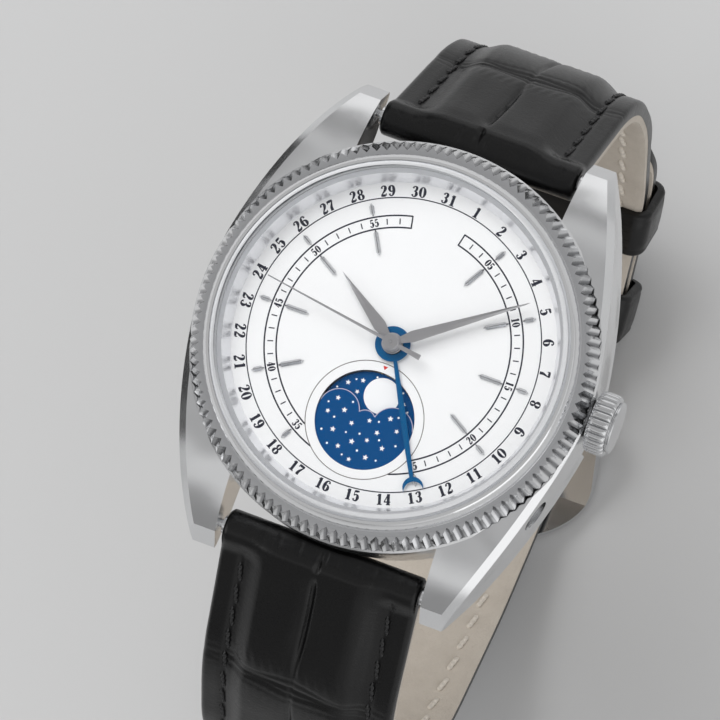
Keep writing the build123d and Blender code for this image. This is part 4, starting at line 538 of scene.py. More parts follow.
@dataclass
class Shell:
    """Points in millimetres, faces and UVs of one or more closed bodies."""

    points: list[Array] = field(default_factory=list)
    faces: list[list[int]] = field(default_factory=list)
    uvs: list[Array] = field(default_factory=list)
    count: int = 0

    def rings(self, points: Array, uv: Array | None = None, ends: bool = True) -> "Shell":
        """Adds a body whose rows are closed rings, capped at its ends or closed on itself.

        Args:
            points: rows x columns x 3, each row going round the body.
            uv: rows x columns x 2, or None for the grid's own numbers.
            ends: True for flat caps on the first and last rings, False where the last ring meets the first.

        Returns:
            This shell.
        """
        rows, columns = points.shape[:2]
        row = np.arange(rows - 1 if ends else rows)[:, None]
        column = np.arange(columns)[None, :]
        here, after = row * columns, (row + 1) % rows * columns
        beside = (column + 1) % columns
        quads = grid(here + column, here + beside, after + beside, after + column).reshape(-1, 4)
        self.faces.extend((quads.astype(int) + self.count).tolist())
        if ends:
            self.faces.append((np.arange(columns)[::-1] + self.count).tolist())
            self.faces.append((np.arange(columns) + (rows - 1) * columns + self.count).tolist())
        if uv is None:
            uv = grid(np.arange(columns)[None, :], np.arange(rows)[:, None]) * 0.2
        self.points.append(points.reshape(-1, 3))
        self.uvs.append(uv.reshape(-1, 2))
        self.count += rows * columns
        return self

    def slab(self, path: Array, half: Array | float, low: float, high: float, ends: bool = True) -> "Shell":
        """Adds a flat bar along a plane path: its sides are the path moved by its half width."""
        ahead = np.gradient(path, axis=0) if ends else np.roll(path, -1, 0) - np.roll(path, 1, 0)
        ahead /= np.linalg.norm(ahead, axis=1, keepdims=True) + 1e-12
        aside = np.stack([-ahead[:, 1], ahead[:, 0]], -1) * np.broadcast_to(half, len(path))[:, None]
        sides = path[:, None, :] + aside[:, None, :] * np.array([1, 1, -1, -1])[:, None]
        return self.rings(grid(sides[..., 0], sides[..., 1], [high, low, low, high]), ends=ends)

    def plate(self, outline: Array, low: float, high: float) -> "Shell":
        """Adds a flat plate with that outline, given anticlockwise."""
        return self.rings(grid(outline[:, 0], outline[:, 1], [[low], [high]]))

    def lathe(self, profile: tuple[Pair, ...], count: int = 72) -> "Shell":
        """Adds a closed profile of (radius, height) turned round the vertical axis."""
        reach, height = np.array(profile).T
        turn = around(count)[:, None]
        return self.rings(grid(np.cos(turn) * reach, np.sin(turn) * reach, height), ends=False)

    def mesh(self, name: str, crease: float = 35.0) -> bpy.types.Object:
        """Makes the object in metres at the origin, smooth but for edges sharper than the crease angle."""
        data = bpy.data.meshes.new(name)
        data.from_pydata((np.concatenate(self.points) * MM).tolist(), [], self.faces)
        data.update()
        corners = np.zeros(len(data.loops), np.int32)
        data.loops.foreach_get("vertex_index", corners)
        layer = data.uv_layers.new(name="Wrap")
        layer.uv.foreach_set("vector", np.concatenate(self.uvs)[corners].astype(np.float32).ravel())
        data.polygons.foreach_set("use_smooth", np.ones(len(data.polygons), bool))
        data.set_sharp_from_angle(angle=math.radians(crease))
        made = bpy.data.objects.new(name, data)
        bpy.context.scene.collection.objects.link(made)
        return made


def dress(piece: bpy.types.Object, material: Material, body: str, slot: str, *nodes: str) -> None:
    """Gives a piece its material and body, and lets it stand for CAD nodes.

    Args:
        piece: the object.
        material: its finish.
        body: the CAD body that it rides on.
        slot: the record's material slot; not used.
        nodes: the CAD nodes that it replaces.
    """
    piece.data.materials.clear()
    piece.data.materials.append(material)
    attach(piece, body)
    if nodes:
        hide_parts(*nodes)
    log.info("%s: %d faces on %s", piece.name, len(piece.data.polygons), body)


# Numerals: strokes of (x, y, half width) in shares of the numeral's height


def oval(x: float, y: float, wide: float, tall: float, thick: float, thin: float) -> list[Triple]:
    """Closed stroke round an ellipse, thick at its sides and thin at its top and bottom."""
    cosines = [(math.cos(turn), math.sin(turn)) for turn in around(20)]
    return [(x + wide * c, y + tall * s, thin + (thick - thin) * c * c) for c, s in cosines]


SIX = [(0.47, 0.76, 0.075), (0.44, 0.9, 0.05), (0.33, 0.96, 0.04), (0.2, 0.86, 0.065), (0.12, 0.6, 0.1),
       (0.12, 0.32, 0.1), (0.18, 0.12, 0.075), (0.3, 0.04, 0.04), (0.42, 0.12, 0.075), (0.48, 0.3, 0.1),
       (0.43, 0.49, 0.07), (0.32, 0.57, 0.04), (0.2, 0.52, 0.035)]
STROKES: dict[str, list[list[Triple]]] = {
    "1": [[(0.32, 0.0, 0.1), (0.32, 0.5, 0.1), (0.32, 0.98, 0.1)], [(0.3, 0.93, 0.05), (0.14, 0.8, 0.035)],
          [(0.12, 0.035, 0.035), (0.52, 0.035, 0.035)]],
    "2": [[(0.14, 0.73, 0.075), (0.15, 0.87, 0.05), (0.28, 0.96, 0.04), (0.42, 0.88, 0.085),
           (0.44, 0.7, 0.1), (0.36, 0.5, 0.075), (0.22, 0.3, 0.045), (0.1, 0.1, 0.035)],
          [(0.08, 0.09, 0.09), (0.28, 0.09, 0.09), (0.46, 0.09, 0.07)],
          [(0.5, 0.28, 0.03), (0.48, 0.08, 0.05)]],
    "3": [[(0.13, 0.77, 0.07), (0.17, 0.9, 0.045), (0.29, 0.96, 0.04), (0.42, 0.87, 0.085),
           (0.41, 0.66, 0.08), (0.3, 0.545, 0.035), (0.22, 0.535, 0.03)],
          [(0.25, 0.535, 0.03), (0.38, 0.48, 0.065), (0.45, 0.28, 0.105), (0.38, 0.1, 0.07),
           (0.26, 0.04, 0.04), (0.14, 0.1, 0.05), (0.11, 0.23, 0.075)]],
    "4": [[(0.36, 0.97, 0.035), (0.22, 0.64, 0.035), (0.06, 0.29, 0.035)],
          [(0.03, 0.27, 0.04), (0.57, 0.27, 0.04)], [(0.39, 0.0, 0.1), (0.39, 0.5, 0.1), (0.39, 0.99, 0.1)],
          [(0.22, 0.035, 0.035), (0.55, 0.035, 0.035)]],
    "5": [[(0.12, 0.9, 0.07), (0.3, 0.9, 0.08), (0.5, 0.93, 0.045)], [(0.13, 0.93, 0.03), (0.12, 0.5, 0.03)],
          [(0.12, 0.5, 0.03), (0.26, 0.6, 0.04), (0.4, 0.54, 0.08), (0.45, 0.32, 0.105), (0.38, 0.11, 0.07),
           (0.26, 0.04, 0.04), (0.14, 0.1, 0.05), (0.11, 0.22, 0.075)]],
    "6": [SIX],
    "7": [[(0.08, 0.9, 0.07), (0.3, 0.89, 0.09), (0.53, 0.92, 0.05)],
          [(0.08, 0.95, 0.03), (0.08, 0.7, 0.03)],
          [(0.52, 0.9, 0.03), (0.38, 0.58, 0.06), (0.27, 0.3, 0.095), (0.26, 0.01, 0.105)]],
    "9": [[(0.6 - x, 1 - y, half) for x, y, half in SIX]],
}
OVALS: dict[str, list[list[Triple]]] = {
    "0": [oval(0.3, 0.5, 0.2, 0.455, 0.1, 0.035)],
    "8": [oval(0.3, 0.755, 0.15, 0.205, 0.08, 0.035), oval(0.3, 0.275, 0.185, 0.235, 0.095, 0.035)],
}


@dataclass
class Print:
    """Numerals, lines and ticks printed on the dial, as slabs that rise a hundredth of a millimetre."""

    date_circle: float = 14.95
    date_height: float = 1.07
    date_squeeze: float = 1.08
    date_line: float = 14.28
    date_line_half: float = 0.055
    days: int = 31
    minute_circle: float = 11.95
    minute_height: float = 0.78
    minute_squeeze: float = 0.9
    minutes: tuple[int, ...] = (5, 10, 15, 20, 25, 35, 40, 45, 50, 55)
    track: Pair = (11.36, 12.53)
    track_half: float = 0.075
    track_end: float = 12.4
    track_end_half: float = 0.068
    tick_length: float = 0.56
    tick_half: float = 0.055
    tick_clearance: float = 0.35
    moon_line: float = 5.75
    moon_line_half: float = 0.04
    advance: float = 0.66
    low: float = DIAL_TOP - PRINT_SUNK
    top: float = DIAL_TOP + 0.012
    layer_rise: float = 0.0015
    track_rise: float = 0.002

    def number(self, shell: Shell, text: str, turn: float, reach: float, height: float,
               squeeze: float) -> None:
        """Adds one number, its foot towards the centre in the upper half of the dial and away from it below.

        Each stroke lies a little higher than the one before, so that none share a face.

        Args:
            shell: where the strokes go.
            text: the digits.
            turn: clockwise angle from 12 o'clock, in degrees.
            reach: radius of the number's middle.
            height: height of the digits.
            squeeze: their width, as a share of the usual one.
        """
        upright = not 90.5 < turn % 360 < 269.5
        tilt = math.radians(-turn if upright else 180 - turn)
        spin = np.array([[math.cos(tilt), math.sin(tilt)], [-math.sin(tilt), math.cos(tilt)]])
        start = (0.03 - self.advance * len(text) / 2) * squeeze
        middle = np.array(clock_point(turn, reach))
        layer = 0
        for place, digit in enumerate(text):
            for closed, table in ((False, STROKES), (True, OVALS)):
                for stroke in table.get(digit, []):
                    raw = np.array(stroke)
                    path = raw if closed or len(raw) < 3 else smooth_path(raw, 5 * len(raw))
                    flat = path[:, :2] * [squeeze, 1.0] + [start + place * self.advance * squeeze, -0.5]
                    half = path[:, 2] * height * (0.7 + 0.54 * squeeze)
                    top = self.top + layer * self.layer_rise
                    shell.slab(flat * height @ spin + middle, half, self.low, top, ends=not closed)
                    layer += 1

    def arc(self, shell: Shell, centre: Pair, reach: float, half: float, keep: Array) -> None:
        """Adds a circle line where keep is True, or the whole circle where it always is."""
        turns = np.radians(np.linspace(0, 360, len(keep), endpoint=False))
        path = grid(centre[0] + reach * np.sin(turns), centre[1] + reach * np.cos(turns))[::-1]
        keep = keep[::-1]
        if keep.all():
            shell.slab(path, half, self.low, self.top, ends=False)
            return
        first = int(np.flatnonzero(~keep)[0])
        path, keep = np.roll(path, -first, 0), np.roll(keep, -first)
        edges = np.flatnonzero(np.diff(keep.astype(int)))
        for start, end in zip(edges[::2], list(edges[1::2]) + [len(keep) - 1] * (len(edges) % 2)):
            shell.slab(path[start + 1:end + 1], half, self.low, self.top)

    def outside_moon(self, points: Array, margin: float = 0.0) -> Array:
        """True where points lie outside the moon dial's circle."""
        return np.hypot(*(points - MOON_MIDDLE).T) > self.moon_line + margin

    def line(self, shell: Shell, turn: float, ends: Pair, half: float) -> None:
        """Adds a straight line along a ray of the dial, a little above the arcs."""
        path = np.array([clock_point(turn, reach) for reach in ends])
        shell.slab(path, half, self.low, self.top + self.track_rise)

    def build(self, ink: Material, pale_ink: Material) -> None:
        """Builds the date numbers and line, the minute track with its numbers, and the moon dial's line."""
        dates, minutes, track, ring = Shell(), Shell(), Shell(), Shell()
        for day in range(1, self.days + 1):
            turn = day * 360 / self.days
            self.number(dates, str(day), turn, self.date_circle, self.date_height, self.date_squeeze)
        self.arc(dates, (0, 0), self.date_line, self.date_line_half, np.ones(360, bool))
        for minute in self.minutes:
            self.number(minutes, f"{minute:02d}", minute * 6, self.minute_circle, self.minute_height,
                        self.minute_squeeze)
        turns = np.linspace(0, 360, 1440, endpoint=False)
        clear = (turns > self.track_end) & (turns < 360 - self.track_end)
        for reach in self.track:
            spots = grid(reach * np.sin(np.radians(turns)), reach * np.cos(np.radians(turns)))
            self.arc(track, (0, 0), reach, self.track_half, clear & self.outside_moon(spots))
        for turn in (self.track_end, 360 - self.track_end):
            self.line(track, turn, (self.track[0] - 0.05, self.track[1] + 0.05), self.track_end_half)
        middle = sum(self.track) / 2
        tick = (middle - self.tick_length / 2, middle + self.tick_length / 2)
        for minute in range(3, 58):
            spot = np.array([clock_point(minute * 6, middle)])
            if minute % 5 and self.outside_moon(spot, self.tick_clearance)[0]:
                self.line(track, minute * 6, tick, self.tick_half)
        self.arc(ring, MOON_MIDDLE, self.moon_line, self.moon_line_half, np.ones(180, bool))
        for name, shell, paint in (("date_numbers", dates, ink), ("minute_numbers", minutes, ink),
                                   ("minute_track", track, ink), ("moon_dial_line", ring, pale_ink)):
            dress(shell.mesh(name), paint, "head", "dial_white")


@dataclass
class MoonFace:
    """The two moons on the disc, the stars on disc and cover, a pale lilac strip painted as the highlight of
    the cover's edge, and the red mark.

    Stars are (x, y, size) about the window's middle; sizes under the smallest star's are dots.
    """

    disc_top: float
    cover_top: float
    window: float = 4.84
    moon: Pair = (0.65, 2.74)
    moon_radius: float = 1.76
    smallest_star: float = 0.15
    star_rise: float = 0.01
    moon_rise: float = 0.012
    edge_half: float = 0.035
    mark: tuple[Pair, ...] = ((-0.16, 5.5), (0.09, 5.13), (0.34, 5.5))
    humps: tuple[Triple, ...] = ((-2.75, 0.12, 2.0), (2.75, 0.12, 2.0), (0.0, -0.05, 1.02))
    cover_stars: tuple[Triple, ...] = (
        (-3.2, 1.15, 0.27), (-2.2, 0.25, 0.3), (-3.7, -0.35, 0.26), (-1.1, -0.7, 0.27), (0.45, 0.1, 0.26),
        (2.3, 0.95, 0.3), (3.3, 0.0, 0.26), (1.55, -0.75, 0.28), (-2.6, -1.85, 0.3), (-0.45, -2.35, 0.31),
        (2.55, -2.0, 0.28), (0.9, -1.75, 0.25), (-1.55, -3.2, 0.27), (1.35, -3.35, 0.3), (-0.1, -4.05, 0.25),
        (-1.7, 1.25, 0.11), (-2.9, -0.7, 0.11), (0.0, -1.4, 0.11), (3.0, 1.3, 0.11), (1.35, 0.3, 0.1),
        (-3.65, -2.2, 0.11), (-1.3, -1.7, 0.1), (2.0, -1.35, 0.11), (3.7, -1.35, 0.11), (0.35, -3.0, 0.11),
        (-2.65, -3.3, 0.11), (2.4, -3.3, 0.1), (-0.9, -3.85, 0.1), (3.75, 0.95, 0.1), (-3.95, 0.5, 0.1),
    )
    disc_stars: tuple[Triple, ...] = (
        (-2.9, 2.9, 0.28), (-1.75, 2.35, 0.25), (-1.6, 3.55, 0.27), (2.95, 2.65, 0.26), (-0.4, 4.3, 0.1),
        (-2.25, 3.45, 0.1), (3.55, 2.1, 0.1), (-3.75, 2.15, 0.1), (2.5, 3.7, 0.1), (-0.35, -3.1, 0.28),
    )

    def star(self, shell: Shell, x: float, y: float, size: float, top: float) -> None:
        """Adds a five-point star, or a dot where it is small: the radius swings between two values."""
        turns, reach = around(10), np.full(10, size)
        if size >= self.smallest_star:
            turns = turns + math.pi / 2 + 0.3 * math.sin(5 * x + 3 * y)
            reach = np.where(np.arange(10) % 2, 0.46 * size, size)
        outline = grid(MOON_MIDDLE[0] + x + reach * np.cos(turns),
                       MOON_MIDDLE[1] + y + reach * np.sin(turns))
        shell.plate(outline, top - PRINT_SUNK, top + self.star_rise)

    def horizon(self) -> Array:
        """Upper edge of the cover: the highest of the humps' circles at each x, inside the window."""
        x = np.linspace(-4.72, 4.72, 240)
        heights = [y + np.sqrt(np.maximum(r * r - (x - at) ** 2, 0)) for at, y, r in self.humps]
        edge = np.max(heights, axis=0)
        inside = np.hypot(x, edge) < self.window - 0.02
        return grid(x[inside], edge[inside]) + MOON_MIDDLE

    def build(self, white: Material, edge: Material, red: Material) -> None:
        """Builds the pieces on the cover, the disc and the dial."""
        cover, sky = Shell(), Shell()
        for x, y, size in self.cover_stars:
            self.star(cover, x, y, size, self.cover_top)
        for x, y, size in self.disc_stars:
            self.star(sky, x, y, size, self.disc_top)
            self.star(sky, -x, -y, size, self.disc_top)
        circle = self.moon_radius * grid(np.cos(around(72)), np.sin(around(72)))
        for side in (-1, 1):
            spot = np.array(MOON_MIDDLE) + side * np.array(self.moon)
            sky.plate(spot + circle, self.disc_top - PRINT_SUNK, self.disc_top + self.moon_rise)
        # Pale lilac strip along the cover's upper edge: a painted highlight of its cut edge.
        rim = Shell().slab(self.horizon()[::-1], self.edge_half, self.cover_top - PRINT_SUNK,
                           self.cover_top + self.moon_rise)
        mark = Shell().plate(
            np.array(self.mark) + MOON_MIDDLE, DIAL_TOP - PRINT_SUNK, DIAL_TOP + self.moon_rise)
        dress(cover.mesh("cover_stars"), white, "head", "moon_blue")
        dress(sky.mesh("moons_and_stars"), white, "moon", "moon_blue")
        dress(rim.mesh("cover_edge_highlight"), edge, "head", "moon_blue")
        dress(mark.mesh("moon_mark"), red, "head", "dial_white")


@dataclass
class CreasedHand:
    """A hand with a ridge along its middle: two facets that fall from the ridge to thin edges."""

    angle: float
    low: float
    thickness: float
    outline: tuple[Pair, ...]
    hub: Pair = (0.0, 0.0)
    bevel: float = 0.05
    edge_share: float = 0.6

    def turned(self, points: Array) -> Array:
        """Turns points from the +X direction to the hand's clockwise angle."""
        spin = math.radians(90 - self.angle)
        x, y, z = np.moveaxis(points, -1, 0)
        return grid(x * math.cos(spin) - y * math.sin(spin), x * math.sin(spin) + y * math.cos(spin), z)

    def blade(self, shell: Shell) -> None:
        """Adds the blade: rings of edge, ridge, edge and underside at each station."""
        places, widths = np.array(self.outline).T
        x = np.linspace(places[0], places[-1], 80)[:, None]
        sides = np.array([1, 0, -1, -1, 0, 1])
        heights = self.low + self.thickness * np.array([self.edge_share, 1, self.edge_share, 0, 0, 0])
        ring = grid(x, np.interp(x, places, widths) * sides, heights)
        shell.rings(self.turned(ring[:, ::-1]))

    def build(self, material: Material, body: str, slot: str, shell: Shell | None = None) -> None:
        """Builds the hand with its hub ring, in the place of the body's CAD hand."""
        shell = shell or Shell()
        self.blade(shell)
        inner, outer = self.hub
        top = self.low + self.thickness
        shell.lathe((
            (inner, self.low), (outer, self.low), (outer, top - self.bevel), (outer - self.bevel, top),
            (inner + 0.03, top), (inner, top - 0.03)))
        dress(shell.mesh(f"{body}_hand_creased", 20.0), material, body, slot, f"{body}_hand")


@dataclass
class Hands:
    """Hour, minute, second and date hands."""

    crescent_middle: float = 14.0
    crescent_radii: Pair = (1.0, 0.96)
    crescent_shift: float = 0.41
    crescent_share: float = 0.85
    hour: CreasedHand = field(default_factory=lambda: CreasedHand(
        HAND_ANGLES["hour"], 9.7, 0.18,
        ((0.76, 0.36), (1.1, 0.4), (2.15, 0.635), (6.9, 0.17), (8.1, 0.06), (8.5, 0.012)), (0.78, 1.02)))
    minute: CreasedHand = field(default_factory=lambda: CreasedHand(
        HAND_ANGLES["minute"], 10.1, 0.18,
        ((0.6, 0.3), (1.0, 0.34), (2.15, 0.56), (11.6, 0.16), (13.3, 0.06), (13.8, 0.012)), (0.56, 0.9)))
    date: CreasedHand = field(default_factory=lambda: CreasedHand(
        HAND_ANGLES["date"], 9.28, 0.14, ((1.5, 0.18), (6.5, 0.29), (10.5, 0.25), (13.28, 0.19)),
        (1.02, 1.72), 0.03))
    arm: CreasedHand = field(default_factory=lambda: CreasedHand(
        HAND_ANGLES["second"], 10.5, 0.12, ((-3.2, 0.27), (-0.5, 0.17), (0.0, 0.16), (13.7, 0.055))))
    cap: tuple[Pair, ...] = (
        (0.0005, 10.46), (0.84, 10.46), (0.84, 10.68), (0.8, 10.72), (0.74, 10.73), (0.73, 10.87),
        (0.7, 10.9), (0.19, 10.9), (0.165, 10.88), (0.15, 10.9), (0.13, 10.93), (0.0005, 10.95))

    def crescent(self) -> Shell:
        """Makes the crescent between two circles: the outer arc, and the inner one moved outward."""
        outer, inner = self.crescent_radii
        shift = self.crescent_shift
        cross = (outer**2 - inner**2 + shift**2) / (2 * shift)
        far, near = math.acos(cross / outer), math.acos((cross - shift) / inner)
        share = np.linspace(0, 1, 60)[:, None]
        turns = np.array([far, far, near, near]) + (math.tau - 2 * np.array([far, far, near, near])) * share
        reach, push = np.array([outer, outer, inner, inner]), np.array([0, 0, shift, shift])
        top = self.date.low + self.date.thickness * self.crescent_share
        heights = np.array([self.date.low, top, top, self.date.low])
        ring = grid(self.crescent_middle + push + reach * np.cos(turns), reach * np.sin(turns), heights)
        return Shell().rings(self.date.turned(ring[:, ::-1]))

    def build(self, steel: dict[str, Material], blue: Material) -> None:
        """Builds the four hands, each in the place of its CAD node; the second hand has a capped hub."""
        self.hour.build(steel["hour"], "hour", "hand_silver")
        self.minute.build(steel["minute"], "minute", "hand_silver")
        self.date.build(blue, "date", "date_blue", self.crescent())
        shell = Shell()
        self.arm.blade(shell)
        shell.lathe(self.cap)
        piece = shell.mesh("second_hand_capped", 20.0)
        dress(piece, steel["second"], "second", "hand_silver", "second_hand")


# Crown and corrector


@dataclass
class Crown:
    """The crown, with round ridges between narrow valleys, a neck and a low domed cap."""

    start: float = 20.2
    axis_height: float = 6.0
    ridges: int = 24
    ridge_steps: int = 14
    depth: float = 0.3
    roundness: float = 2.2
    profile: tuple[Triple, ...] = (
        (1.45, 0.002, 0), (1.45, 1.93, 0), (0.02, 1.95, 0), (0.0, 2.0, 0), (0.0, 2.72, 0.1),
        (0.03, 2.84, 0.5), (0.12, 2.94, 0.85), (0.34, 3.04, 1), (0.72, 3.08, 1), (1.4, 3.08, 1),
        (1.78, 3.05, 1), (1.95, 2.98, 0.85), (2.05, 2.88, 0.5), (2.1, 2.76, 0.1), (2.105, 2.5, 0),
        (2.11, 2.41, 0), (2.18, 2.4, 0), (2.2, 2.5, 0), (2.23, 2.555, 0), (2.28, 2.57, 0), (2.38, 2.57, 0),
        (2.43, 2.555, 0), (2.475, 2.5, 0), (2.49, 2.42, 0), (2.52, 1.8, 0),
        (2.545, 1.1, 0), (2.558, 0.5, 0), (2.56, 0.002, 0),
    )

    def build(self, material: Material) -> None:
        """Turns the profile of (distance, radius, ridge share) round the crown's axis."""
        along, radius, share = np.array(self.profile).T[:, :, None]
        turns = around(self.ridges * self.ridge_steps)
        lobe = np.mod(turns * self.ridges / math.tau, 1.0) * 2 - 1
        valley = 1 - np.sqrt(np.clip(1 - np.abs(lobe) ** self.roundness, 0, 1))
        reach = radius - self.depth * share * valley
        ring = grid(self.start + along, reach * np.cos(turns), self.axis_height + reach * np.sin(turns))
        piece = Shell().rings(ring, ends=False).mesh("ridged_crown", 50.0)
        dress(piece, material, "crown_group", "polished_steel", "crown")


@dataclass
class ReturnSpring:
    """The corrector's coil spring, built at rest; the real one shortens as the button goes in."""

    start: float = 17.37
    end: float = 18.73
    radius: float = 0.85
    wire: float = 0.1
    turn_count: float = 4.0
    angle: float = -30.0
    height: float = 5.2
    travel: float = 0.8

    def build(self, material: Material) -> None:
        """Sweeps the wire's circle along a helix about the button's axis."""
        share, way = np.linspace(0, 1, 161)[:, None], around(8)
        low, high = self.start + self.wire, self.end - self.wire
        turns = share * self.turn_count * math.tau
        reach = self.radius + self.wire * np.cos(way)
        along = low + share * (high - low) + self.wire * np.sin(way)
        aside = reach * np.cos(turns)
        x, y = math.cos(math.radians(self.angle)), math.sin(math.radians(self.angle))
        ring = grid(along * x - aside * y, along * y + aside * x, self.height + reach * np.sin(turns))
        piece = Shell().rings(ring[:, ::-1]).mesh("return_spring")
        dress(piece, material, "head", "plain_steel", "corrector_spring")
        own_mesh(piece)


# Strap


@dataclass
class Route:
    """Seam line of a strap half in its y-z plane: straight runs with an arc at each corner."""

    corners: Array
    radii: tuple[float, ...]
    step: float
    arc_step: float = 0.02
    reach: float = 0.3

    def __post_init__(self) -> None:
        """Cuts each corner back by r tan(turn/2) and adds its arc."""
        pieces = [self.corners[:1]]
        marks = []
        for index, radius in enumerate(self.radii, start=1):
            before, after = np.diff(self.corners[index - 1:index + 2], axis=0)
            before, after = before / np.hypot(*before), after / np.hypot(*after)
            turn = math.atan2(before[0] * after[1] - before[1] * after[0], float(before @ after))
            cut = radius * math.tan(abs(turn) / 2)
            side = math.copysign(1.0, turn) * np.array([-before[1], before[0]])
            centre = self.corners[index] - before * cut + side * radius
            angles = np.linspace(0, abs(turn), max(6, int(abs(turn) / self.arc_step)))[:, None]
            pieces.append(centre - side * radius * np.cos(angles) + before * radius * np.sin(angles))
            marks.append(len(np.concatenate(pieces)) - len(angles) // 2)
        self.line = np.concatenate([*pieces, self.corners[-1:]])
        self.run = np.concatenate([[0.0], np.cumsum(np.hypot(*np.diff(self.line, axis=0).T))])
        self.length = float(self.run[-1])
        self.corner_run = np.array([0.0, *self.run[marks], self.length])

    def spot(self, run: Array) -> Array:
        """Points at those distances along the line."""
        return grid(*(np.interp(run, self.run, self.line[:, axis]) for axis in range(2)))

    def at(self, run: Array) -> tuple[Array, Array, Array]:
        """Points, directions and outward normals at those distances, straight on past the line's ends."""
        inside = np.clip(run, 0, self.length)
        ahead = (self.spot(np.clip(run + self.reach, 0, self.length))
                 - self.spot(np.clip(run - self.reach, 0, self.length)))
        ahead /= np.hypot(*ahead.T)[:, None]
        return self.spot(run) + ahead * (run - inside)[:, None], ahead, grid(-ahead[:, 1], ahead[:, 0])

    def one(self, run: float) -> tuple[Array, Array, Array]:
        """Point, direction and normal at one distance."""
        spot, ahead, normal = self.at(np.array([run]))
        return spot[0], ahead[0], normal[0]


def half_width(z: Array | float) -> Array:
    """Half the strap's width, which tapers from the spring bars down to the floor."""
    return 10.1 - 1.1 * np.clip((2.6 - z) / 58.8, 0, 1)


@dataclass
class StrapHalf:
    """One half of the strap: embossed outer leather, lining, and the stitches that join them.

    Grooves are (distance, slant, bow) across the strap; middle is the place and drift of the lengthwise one.
    Folds beside a cross groove are (depth, shift, swing, swing's rate, width), middle folds (depth, shift,
    width). Pairs are where a smooth step starts and ends: insets from the strap's edge, or distances along
    it for pad_settles.
    """

    name: str
    route: Route
    leather: tuple[float, ...]
    lining: tuple[float, ...]
    mirrored: bool
    grooves: tuple[Triple, ...]
    buckle_loop: bool
    middle: Pair
    roll: float = 1.8
    bore: float = 0.97
    roll_stations: int = 40
    loop: float = 1.55
    loop_bore: float = 0.74
    loop_stations: int = 36
    loop_step: float = 0.15
    crease_pitch: float = 1.6
    crease_depth: float = 0.13
    crease_width: float = 0.15
    crease_turn: float = 0.8
    plump: float = 0.55
    pad: Pair = (2.6, 6.2)
    pad_base: float = 0.1
    pad_settles: Pair = (9.0, 24.0)
    border: Pair = (2.7, 5.0)
    border_drop: float = 0.85
    border_thin: float = 1.15
    groove_border: Pair = (2.2, 3.2)
    groove_thin: float = 0.9
    seam_depth: float = 0.2
    seam_width: float = 0.34
    tip: float = 9.0
    tip_start: float = 0.07
    tip_power: float = 2.6
    stitch_inset: float = 2.35
    pitch: float = 2.75
    comb_pitch: float = 0.95
    comb_depth: float = 0.022
    comb_away: float = 1.9
    sway_depth: float = 0.035
    folds: tuple[tuple[float, ...], ...] = (
        (0.13, 0.0, 0.0, 0.0, 0.17), (0.13, 0.0, 0.0, 0.0, 1.1), (0.09, 0.6, 0.2, 0.9, 0.16),
        (0.07, -0.7, -0.25, 0.7, 0.16), (0.04, 1.35, 0.3, 0.55, 0.18))
    middle_folds: tuple[Triple, ...] = ((0.4, 0.0, 0.27), (0.14, -0.25, 0.9))
    cutters: list[Array] = field(default_factory=list)

    def spread(self, columns: int) -> Array:
        """Places of the columns across the strap from -1 to 1, a quarter closer at its middle."""
        even = np.linspace(-1, 1, columns)
        return even * (0.75 + 0.25 * even**2)

    def swell(self, inset: Array) -> Array:
        """Rise of the pads between the stitch lines."""
        return self.plump * soft_step(inset, *self.pad)

    def along(self, run: Array, table: tuple[float, ...]) -> Array:
        """Thickness of a layer, given at the route's corners."""
        return np.interp(run, self.route.corner_run, table)

    def halves(self, run: Array, z: Array, inset: float = 0.0) -> Array:
        """Half widths, rounded off towards the tip of a half that has no buckle."""
        half = half_width(z) - inset
        if self.buckle_loop:
            return half
        left = np.clip((self.route.length - run) / self.tip, 0, 1)
        return half * np.sqrt(np.clip(1 - (1 - self.tip_start) * (1 - left) ** self.tip_power, 0, 1))

    def relief(self, run: Array, across: Array, half: Array) -> Array:
        """Height of the outer face over the seam: pads inside the stitch lines, with embossed grooves.

        The pads rise by a smooth step from the stitch line inwards. Each cross groove is a narrow bell curve
        in a wide shallow one, with wavy creases beside it, and the lengthwise groove is the same.
        Comb creases are cosines across the strap, faded out away from the cross grooves.
        """
        full = self.along(run, self.leather)
        inset = half - np.abs(across)
        deep = np.clip(full - self.groove_thin, 0.35, 1.0)
        inner = 0.3 + 0.7 * soft_step(inset, *self.groove_border)
        drop = self.border_drop * np.clip(full - self.border_thin, 0.2, 1.0)
        height = full - drop * (1 - soft_step(inset, *self.border))
        pillow = self.plump * (1 - soft_step(run, *self.pad_settles)) + self.pad_base
        height += pillow * soft_step(inset, *self.pad)
        height -= self.seam_depth * hump(inset - self.stitch_inset, self.seam_width) + rolled(inset)
        nearest = np.full(np.broadcast(run, across).shape, 99.0)
        for start, slant, bow in self.grooves:
            away = run - (start + slant * across + bow * (across / 5.0) ** 2)
            nearest = np.minimum(nearest, np.abs(away))
            fold = sum(depth * hump(away - shift - swing * np.sin(across * rate + start), width)
                       for depth, shift, swing, rate, width in self.folds)
            height = height - deep * inner * fold
        aside = across - (self.middle[0] + self.middle[1] * run + 0.12 * np.sin(run / 3.4))
        along = soft_step(run, -0.5, 1.5) * (0.25 + 0.75 * soft_step(nearest, 0.3, 6.0))
        fold = sum(depth * hump(aside - shift, width) for depth, shift, width in self.middle_folds)
        height = height - deep * along * fold
        comb = np.cos(math.tau * (across + 0.35 * np.sin(run * 0.8)) / self.comb_pitch)
        comb = self.comb_depth * (comb * hump(nearest - self.comb_away, 0.8) + 1)
        sway = np.sin(run * 0.55 + 1.3 * np.sin(across * 0.5)) * np.sin(across * 0.62 + run * 0.13)
        return height + inner * (self.sway_depth * sway - comb)

    def place(self, run: Array, lift: Array, across: Array) -> Array:
        """Points at a height over the seam."""
        spot, _, normal = self.route.at(run)
        yz = spot[:, None, :] + normal[:, None, :] * lift[:, :, None]
        return grid(across, yz[..., 0], yz[..., 1])

